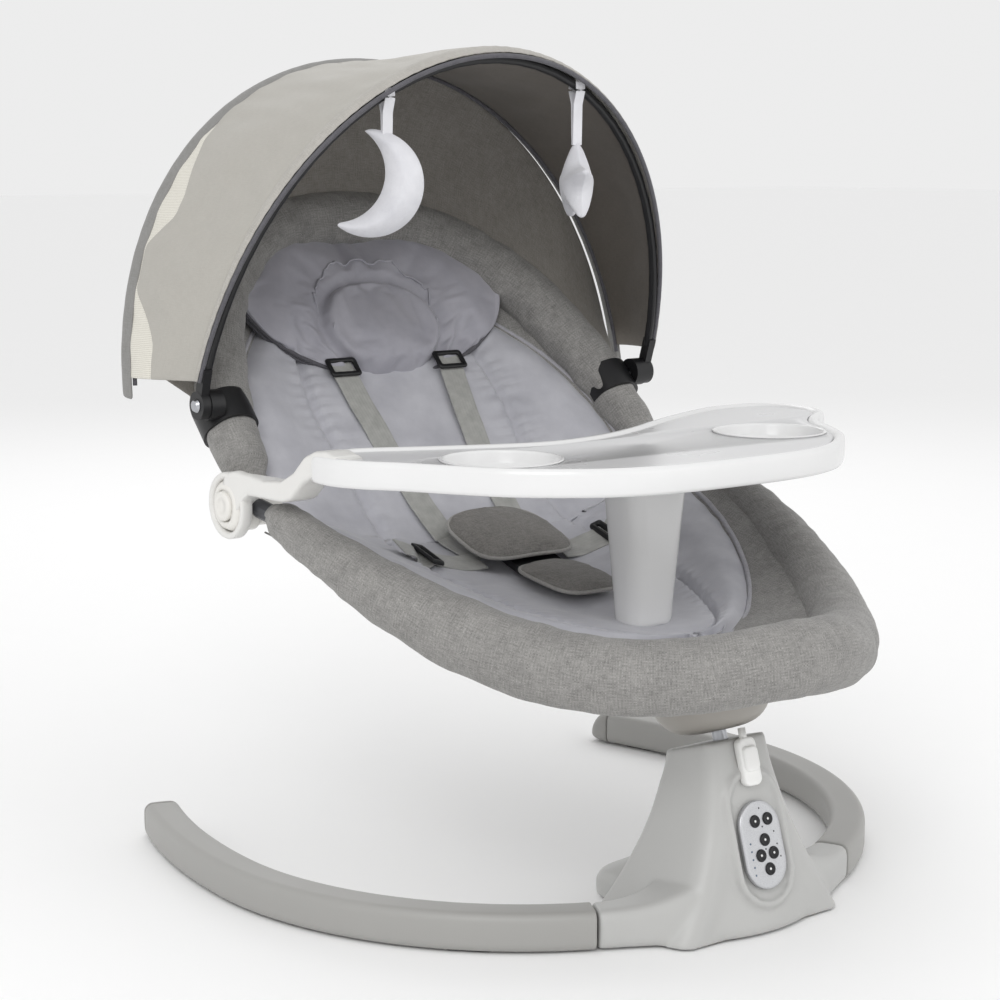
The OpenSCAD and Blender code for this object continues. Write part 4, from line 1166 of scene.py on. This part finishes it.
# Cream net: a fine mesh of holes drawn in the material, at a pitch coarser than the real 0.8 mm.
net, tree, shader = blank("net_polyester_cream", Roughness=0.8, Sheen_Weight=0.2)
place = add(tree, "ShaderNodeTexCoord").outputs["UV"]
cells = add(tree, "ShaderNodeTexVoronoi", {"Vector": place, "Scale": 1000 / 1.7, "Randomness": 0.15},
            feature="DISTANCE_TO_EDGE")
holes = add(tree, "ShaderNodeMapRange", {0: cells.outputs["Distance"], 1: 0.10, 2: 0.22})
tone = add(tree, "ShaderNodeMix", {0: holes.outputs[0], 6: linear("#e9e6dc"), 7: linear("#c9c5ba")},
           data_type="RGBA")
bump = add(tree, "ShaderNodeBump", {"Height": holes.outputs[0], "Strength": 0.4, "Distance": 0.0005},
           invert=True)
tree.links.new(tone.outputs[2], shader.inputs["Base Color"])
tree.links.new(bump.outputs[0], shader.inputs["Normal"])
net_top = math.radians(56)


def net_across(t):
    # Each net overlaps the hood skin by a hem of 4 percent of its width.
    return 1 - net_share(arch_degrees(t)) * np.linspace(1.04, 0, 10) - 0.001


for name, ts in (("net_right", np.linspace(low, net_top, 44)),
                 ("net_left", np.linspace(math.pi - net_top, math.pi - low, 44))):
    made = cloth_strip(name, lambda t, v: hood_point(t, v, -0.6), ts, net_across, net, thick=0.6)
    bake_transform(made)

# The front edge: a light bias binding round the bow, and a dark cord sewn along its inner side.
hem_light = woven("hem_bias_tape_light", "#a19e98", "#bcb9b3", thread=0.9)
rows = []
for t in arch:
    out = np.array([math.cos(t), 0.0, math.sin(t)])
    row = []
    for v in np.linspace(0, 1, 12):
        phi = mix(109.2, 106.2, v)
        lift = 1.6 * math.sin(math.pi * v) + 0.5 * math.sin(t * 130 + 4 * v)
        row.append(fan_arch(bow_w + 7.6, bow_reach + 8.6, phi, t) + out * lift)
    rows.append(row)
made = piece("canopy_front_binding", lofted("canopy_front_binding", rows), hem_light, thick=1.4, offset=0,
             levels=1)
stands_for(made, "canopy", ["hood_hem"])
cord = [fan_arch(bow_w + 5.4, bow_reach + 6.2, 109.6, t) for t in arch]
made = tube("canopy_front_cord", even(cord, 220), 2.1, piping_dark, up=(0, 1, 0.3))
stands_for(made, "canopy", ())

# The rear hoop is covered by a grey band, sewn between hood and rear panel.
rows = []
for t in np.linspace(0.02, math.pi - 0.02, 140):
    out = np.array([math.cos(t), 0.15, math.sin(t)])
    row = []
    for v in np.linspace(0, 1, 10):
        lift = 2.6 * math.sin(math.pi * v) + 0.5 * noise.noise(Vector((t * 30, v * 2, 0)))
        row.append(hoop_arch(275.5, t) + out * lift + np.array([0, mix(-7, 9, v), mix(-1.5, 1.0, v)]))
    rows.append(row)
made = piece("rear_hoop_band", lofted("rear_hoop_band", rows), band_cloth, thick=2.2, offset=-0.5, levels=1)
stands_for(made, "backrest", ["rear_hoop"])
seam = [hoop_arch(271.5, t) + np.array([0, -6, -3]) for t in np.linspace(0.06, math.pi - 0.06, 120)]
made = tube("rear_hoop_seam", even(seam, 200), 2.0, piping_dark, up=(0, 1, -0.2))
stands_for(made, "backrest", ())

# The rear panel closes the hood behind the baby's head. It is sewn to the rim and gathered a little.
rows = []
for t in np.linspace(math.radians(7), math.radians(173), 110):
    a = hoop_arch(271, t) + np.array([0, 8, 2])
    b = back_point(221 * math.cos(t), 40 + (back_len - 36) * math.sin(t), 13)
    row = []
    for v in np.linspace(0, 1, 26):
        p = mix(a, b, v) + np.array([0, 20 * math.sin(math.pi * v) * math.sin(t), 0])
        fold = 3.4 * noise.noise(Vector((t * 8, v * 1.4, 2))) + 1.4 * math.sin(t * 60) * v ** 3
        row.append(p + fold * math.sin(math.pi * min(v, 0.94)) * np.array([math.cos(t), math.sin(t), 0.3]))
    rows.append(row)
made = piece("rear_panel_skin", lofted("rear_panel_skin", rows), panel_cloth, thick=1.2, offset=0, levels=1)
stands_for(made, "backrest", ["rear_panel"])

# ---------------------------------------------------------------- hubs
# Boxy round-cornered caps over the two hinges; the left one carries the tray arm's ring.


def along_x(name, turns, y=hub_y, z=hub_z, squareness=2.0, sides=72):
    """Spun about a crosswise axis: turns are (x, radius) in mm; squareness above 2 flattens the flanks."""
    rows = []
    for x, r in turns:
        ring = []
        for a in np.linspace(0, 2 * math.pi, sides, False):
            c, s = math.cos(a), math.sin(a)
            k = (abs(c) ** squareness + abs(s) ** squareness) ** (-1 / squareness)
            ring.append((x, y + r * k * c, z + r * k * s))
        rows.append(ring)
    return outward(lofted(name, rows, wrap=True, caps=True))


hub_turns = [(227.8, 17), (228.2, 20.6), (230, 21.8), (243, 21.8), (247, 21.4), (250.5, 19.8), (252.8, 17),
             (253.6, 14.2), (252.4, 13.2), (249.2, 13.0), (248.8, 2)]
for side, name in ((-1, "hub_left"), (1, "hub_right")):
    mesh = along_x(name, [(side * x, r) for x, r in hub_turns], squareness=2.35)
    made = piece(name, mesh, hub_white)
    stands_for(made, "seat", ["hub_housings"] if side < 0 else ())
    button = [(249.6, 2), (249.6, 12.2), (254.4, 12.4), (255.6, 12.0), (256.3, 11.0), (256.2, 6.5),
              (255.2, 5.6), (255.2, 1)]
    mesh = along_x(name + "_button", [(side * x, r) for x, r in button])
    made = piece(name + "_button", mesh, hub_white)
    stands_for(made, "left_release" if side < 0 else "right_release",
               ["release_left" if side < 0 else "release_right"])

# ---------------------------------------------------------------- tray
# Glossy white polypropylene with a pale grey inset and two cup wells, on one arm and a centre post.

tray_white = moulded("tray_pp_gloss_white", "#e9e9e9", 0.2, grain=1.2, relief=0.02)
inset_grey = moulded("tray_inset_pp_pale_grey", "#d6d6d7", 0.28, grain=1.2, relief=0.03)
tray_z = 369
cup_r = 45
front = [(45, -26), (84, -21), (120, -8), (150, 12), (180, 40), (205, 78), (225, 112)]
right = [(250, 138), (275, 156), (289, 180), (293, 206), (288, 228), (274, 243), (255, 249), (230, 249)]
back = [(205, 245), (150, 223), (100, 198), (50, 172), (10, 156), (-30, 148), (-62, 148), (-95, 158),
        (-128, 172), (-165, 189), (-200, 205)]
left = [(-222, 206), (-250, 197), (-254, 165), (-243, 136)]
outline = np.array([(0, -27)] + front + right + back + left + [(-x, y) for x, y in front[::-1]], float)


def spline(points, count):
    """A closed Catmull-Rom curve through points, evenly resampled."""
    n = len(points)
    line = []
    for i in range(n):
        p0, p1, p2, p3 = (points[(i + j - 1) % n] for j in range(4))
        for u in np.linspace(0, 1, 12, False):
            line.append(0.5 * (2 * p1 + (p2 - p0) * u + (2 * p0 - 5 * p1 + 4 * p2 - p3) * u ** 2 +
                               (3 * p1 - p0 - 3 * p2 + p3) * u ** 3))
    line = np.array(line + [line[0]])
    far = np.concatenate([[0], np.cumsum(np.linalg.norm(np.diff(line, axis=0), axis=1))])
    at = np.linspace(0, far[-1], count, False)
    return np.stack([np.interp(at, far, line[:, k]) for k in (0, 1)], axis=1)


edge_points = spline(outline, 240)
ahead = np.roll(edge_points, -1, axis=0) - np.roll(edge_points, 1, axis=0)
normals = np.stack([ahead[:, 1], -ahead[:, 0]], axis=1)
normals /= np.linalg.norm(normals, axis=1)[:, None]


def tray_ring(inset, z):
    return [(p[0] - inset * n[0], p[1] - inset * n[1], z) for p, n in zip(edge_points, normals)]


# Each step of the rim is set in from the outline and down from the crest, from under the plate to its seat.
rim_steps = [(9, 12), (4.5, 12), (3.6, 21), (2.2, 22), (1.2, 21.6), (0.3, 19), (0, 12), (0.1, 5), (0.9, 1.8),
             (2.6, 0.4), (4.6, 0.1), (6.6, 0.6), (8.4, 2.0), (9.4, 4.0), (10, 4.6)]
tray_rows = [tray_ring(inset, tray_z - down) for inset, down in rim_steps]
tray_mesh = outward(lofted("tray_moulding", tray_rows, wrap=True, caps=True))
inset_steps = [(10.2, 4.4), (10.2, 2.9), (10.8, 2.5), (12, 2.4)]
inset_rows = [tray_ring(inset, tray_z - down) for inset, down in inset_steps]
inset_mesh = outward(lofted("tray_inset_plate", inset_rows, wrap=True, caps=True))


def bored(name, mesh, radius, centres, z0, z1):
    """Cuts round holes for the cup wells."""
    target = bpy.data.objects.new(name + "_cut", mesh)
    scene.collection.objects.link(target)
    for i, (x, y) in enumerate(centres):
        rows = [[(x + radius * math.cos(a), y + radius * math.sin(a), z)
                 for a in np.linspace(0, 2 * math.pi, 96, False)] for z in (z0, z1)]
        rod = outward(lofted(f"{name}_tool_{i}", rows, wrap=True, caps=True))
        tool = bpy.data.objects.new(f"{name}_tool_{i}", rod)
        scene.collection.objects.link(tool)
        cut = target.modifiers.new("cut", "BOOLEAN")
        cut.object = tool
        cut.solver = "EXACT"
    result = bpy.data.meshes.new_from_object(target.evaluated_get(bpy.context.evaluated_depsgraph_get()))
    for thing in [o for o in scene.objects if o.name.startswith(name + "_tool") or o == target]:
        bpy.data.objects.remove(thing)
    return result


wells = [(-143, 92), (143, 92)]
well_steps = [(-43, 14.8), (-2, 14.8), (1, 14), (2.1, 12), (2.1, 3), (3.2, 2.2), (3.4, 1.4), (2.4, 0.8),
              (1.0, 1.2), (0.2, 3), (0, 10), (-1.4, 12.2), (-4, 13), (-43, 13)]
made = piece("tray_moulding", bored("tray_moulding", tray_mesh, cup_r + 2.2, wells, 330, 380), tray_white)
stands_for(made, "tray", ["tray"])
made = piece("tray_inset_plate", bored("tray_inset_plate", inset_mesh, cup_r + 1.5, wells, 330, 380),
             inset_grey)
stands_for(made, "tray", ["tray_inset"])
for i, (x, y) in enumerate(wells):
    rows = [[(x + (cup_r + out) * math.cos(a), y + (cup_r + out) * math.sin(a), tray_z - down)
             for a in np.linspace(0, 2 * math.pi, 96, False)] for out, down in well_steps]
    made = piece(f"cup_well_{i}", outward(lofted(f"cup_well_{i}", rows, wrap=True, caps=True)), tray_white)
    stands_for(made, "tray", ())

# The arm: one bent moulding from the ring on the left hub up to the tray's edge, rounded on its corners.
arm_white = moulded("arm_abs_warm_white", "#e6e5e2", 0.3, grain=1.0, relief=0.04)
upper = [(327, 339), (312, 342), (300, 341), (292, 341), (268, 339), (240, 342), (220, 352), (204, 366),
         (190, 371.5), (176, 372.5), (161, 369.5)]
lower = [(338, 296), (316, 300), (300, 318), (292, 323.5), (268, 323.8), (240, 324.5), (226, 328),
         (208, 343), (196, 348.5), (180, 350), (161, 351)]
top_line = even([(0, y, z) for y, z in upper], 60)
low_line = even([(0, y, z) for y, z in lower], 60)
rows = []
for i in range(60):
    y0, z0 = low_line[i][1:]
    y1, z1 = top_line[i][1:]
    inner_side = mix(241.5, 225, ease((i - 8) / 16))
    middle = np.array([(inner_side + 252.3) / 2, 0, 0])
    half = (252.3 - inner_side) / 2
    ring = []
    for x, v in rounded(2 * half, math.hypot(y1 - y0, z1 - z0), min(half, 5) * 0.9):
        f = v / math.hypot(y1 - y0, z1 - z0) + 0.5
        ring.append((-(middle[0] + x), mix(y0, y1, f), mix(z0, z1, f)))
    rows.append(ring)
made = piece("tray_arm_blade", outward(lofted("tray_arm_blade", rows, wrap=True, caps=True)), arm_white)
stands_for(made, "tray", ["tray_arm"])
ring_turns = [(-242, 22.6), (-242, 27.2), (-243, 28), (-250.6, 28), (-252.0, 27.2), (-252.4, 25.6),
              (-251.8, 23.4), (-250, 22.4)]
rows = [[(x, hub_y + r * math.cos(a), hub_z + r * math.sin(a))
         for a in np.linspace(0, 2 * math.pi, 72, False)] for x, r in ring_turns + ring_turns[:1]]
made = piece("tray_arm_ring", outward(lofted("tray_arm_ring", rows, wrap=True)), arm_white)
stands_for(made, "tray", ())

post_y = 88
post_foot = floor_z(post_y)
post_steps = [(post_foot + 2.2, 40, 32, 12), (post_foot + 3, 43, 35, 13.5), (post_foot + 6, 44.5, 36.5, 14)]
for v in np.linspace(0, 1, 12):
    post_steps.append((mix(post_foot + 10, 356, v), mix(45, 69, v ** 1.1), mix(36.8, 51.5, v),
                       mix(14, 18, v)))
post_rows = [[(x, post_y + y, z) for x, y in rounded(w, d, r)] for z, w, d, r in post_steps]
made = piece("tray_post_column", outward(lofted("tray_post_column", post_rows, wrap=True, caps=True)),
             tray_white)
stands_for(made, "tray", ["tray_post"])

# ---------------------------------------------------------------- toys
# A plush moon and star, stuffed with fibre and hung from the bow on satin ribbons.

plush = satin("toy_polyester_velboa", "#cfcfd4", "#e2e2e6", roughness=0.85, sheen=0.7, weave=1.6, relief=0.5)
ribbon_satin = satin("toy_ribbon_satin", "#d8d8dc", "#e6e6ea", roughness=0.5)


def hung(x0, y0, z0, turn):
    """Sets a toy's flat outline upright under the bow, turned about its ribbon."""
    c, s = math.cos(turn), math.sin(turn)
    return lambda x, y, z: (x0 + x * c + z * s, y0 + x * s - z * c, z0 + y)


def plump(name, outline, half, place):
    """A stuffed toy from a closed outline: full in the middle and thin at the tips."""
    edge = np.array(outline, float)
    near = bpy.data.meshes.new(name + "_flat")
    shell = bmesh.new()
    for x, y in edge:
        shell.verts.new((x * MM, y * MM, 0))
    shell.faces.new(shell.verts[:])
    bmesh.ops.triangulate(shell, faces=shell.faces[:])
    grown = bmesh.ops.extrude_face_region(shell, geom=shell.faces[:])
    bmesh.ops.translate(shell, verts=[v for v in grown["geom"] if isinstance(v, bmesh.types.BMVert)],
                        vec=(0, 0, 0.016))
    bmesh.ops.recalc_face_normals(shell, faces=shell.faces[:])
    shell.to_mesh(near)
    shell.free()
    thing = bpy.data.objects.new(name + "_block", near)
    scene.collection.objects.link(thing)
    grid = thing.modifiers.new("grid", "REMESH")
    grid.mode = "VOXEL"
    grid.voxel_size = 0.0026
    result = bpy.data.meshes.new_from_object(thing.evaluated_get(bpy.context.evaluated_depsgraph_get()))
    bpy.data.objects.remove(thing)
    ends = np.roll(edge, -1, axis=0) - edge
    spans = (ends ** 2).sum(axis=1)
    for v in result.vertices:
        q = np.array([v.co.x, v.co.y]) / MM
        at = np.clip(((q - edge) * ends).sum(axis=1) / spans, 0, 1)
        far = np.linalg.norm(edge + ends * at[:, None] - q, axis=1).min()
        level = (v.co.z / MM - 8) / 8
        full = half * (1 - math.exp(-far / 9)) + 0.6
        ripple = 0.5 * noise.noise(Vector((q[0] / 7, q[1] / 7, level))) * math.exp(-far / 6)
        p = place(q[0], q[1], max(-1, min(1, level)) * full + ripple)
        v.co = Vector(p) * MM
    return result


moon_x = -110
moon_z = 574
star_x = 92
bow_lean = 107.5


def bow_crown(x):
    """Height and depth of the front bow over a place across, as y and z."""
    up = fan_arch(bow_w, bow_reach, bow_lean, math.acos(x / bow_w))
    return up[1], up[2]


moon_y, moon_bow_z = bow_crown(moon_x)
star_y, star_bow_z = bow_crown(star_x)
star_z = star_bow_z - 85.5
crescent = [(-14 + 45 * math.cos(a), 1 + 45 * math.sin(a)) for a in np.radians(np.linspace(228, 455, 60))]
bite = [(-43.5 + 42 * math.cos(a), 10.5 + 42 * math.sin(a)) for a in np.radians(np.linspace(55, -92, 40))]
mesh = plump("moon_plush", crescent + bite, 11.5, hung(moon_x, moon_y, moon_z, math.radians(-32)))
made = piece("moon_plush", mesh, plush, levels=1)
stands_for(made, "moon", ["moon_toy"])
star = []
for i in range(10):
    r0 = 37 if i % 2 == 0 else 21.5
    star.append((r0 * math.sin(math.radians(36 * i)), r0 * math.cos(math.radians(36 * i))))
mesh = plump("star_plush", spline(np.array(star), 90), 16.5, hung(star_x, star_y, star_z, math.radians(65)))
made = piece("star_plush", mesh, plush, levels=1)
stands_for(made, "star", ["star_toy"])
for body, x, y, low_z, top_at in (("moon", moon_x, moon_y, moon_z + 34, moon_bow_z),
                                  ("star", star_x, star_y, star_z + 34, star_bow_z)):
    rising = [(x, y - 0.8, low_z), (x, y - 1.6, top_at - 16), (x, y - 5.4, top_at - 4),
              (x, y - 4.6, top_at + 3.5)]
    falling = [(x, 2 * y - back_y, z) for x, back_y, z in rising[::-1]]
    loop = rising + [(x, y, top_at + 6.4)] + falling
    made = ribbon(body + "_ribbon", loop, 10, (0, 0, 1), ribbon_satin, thick=0.6)
    stands_for(made, body, ())
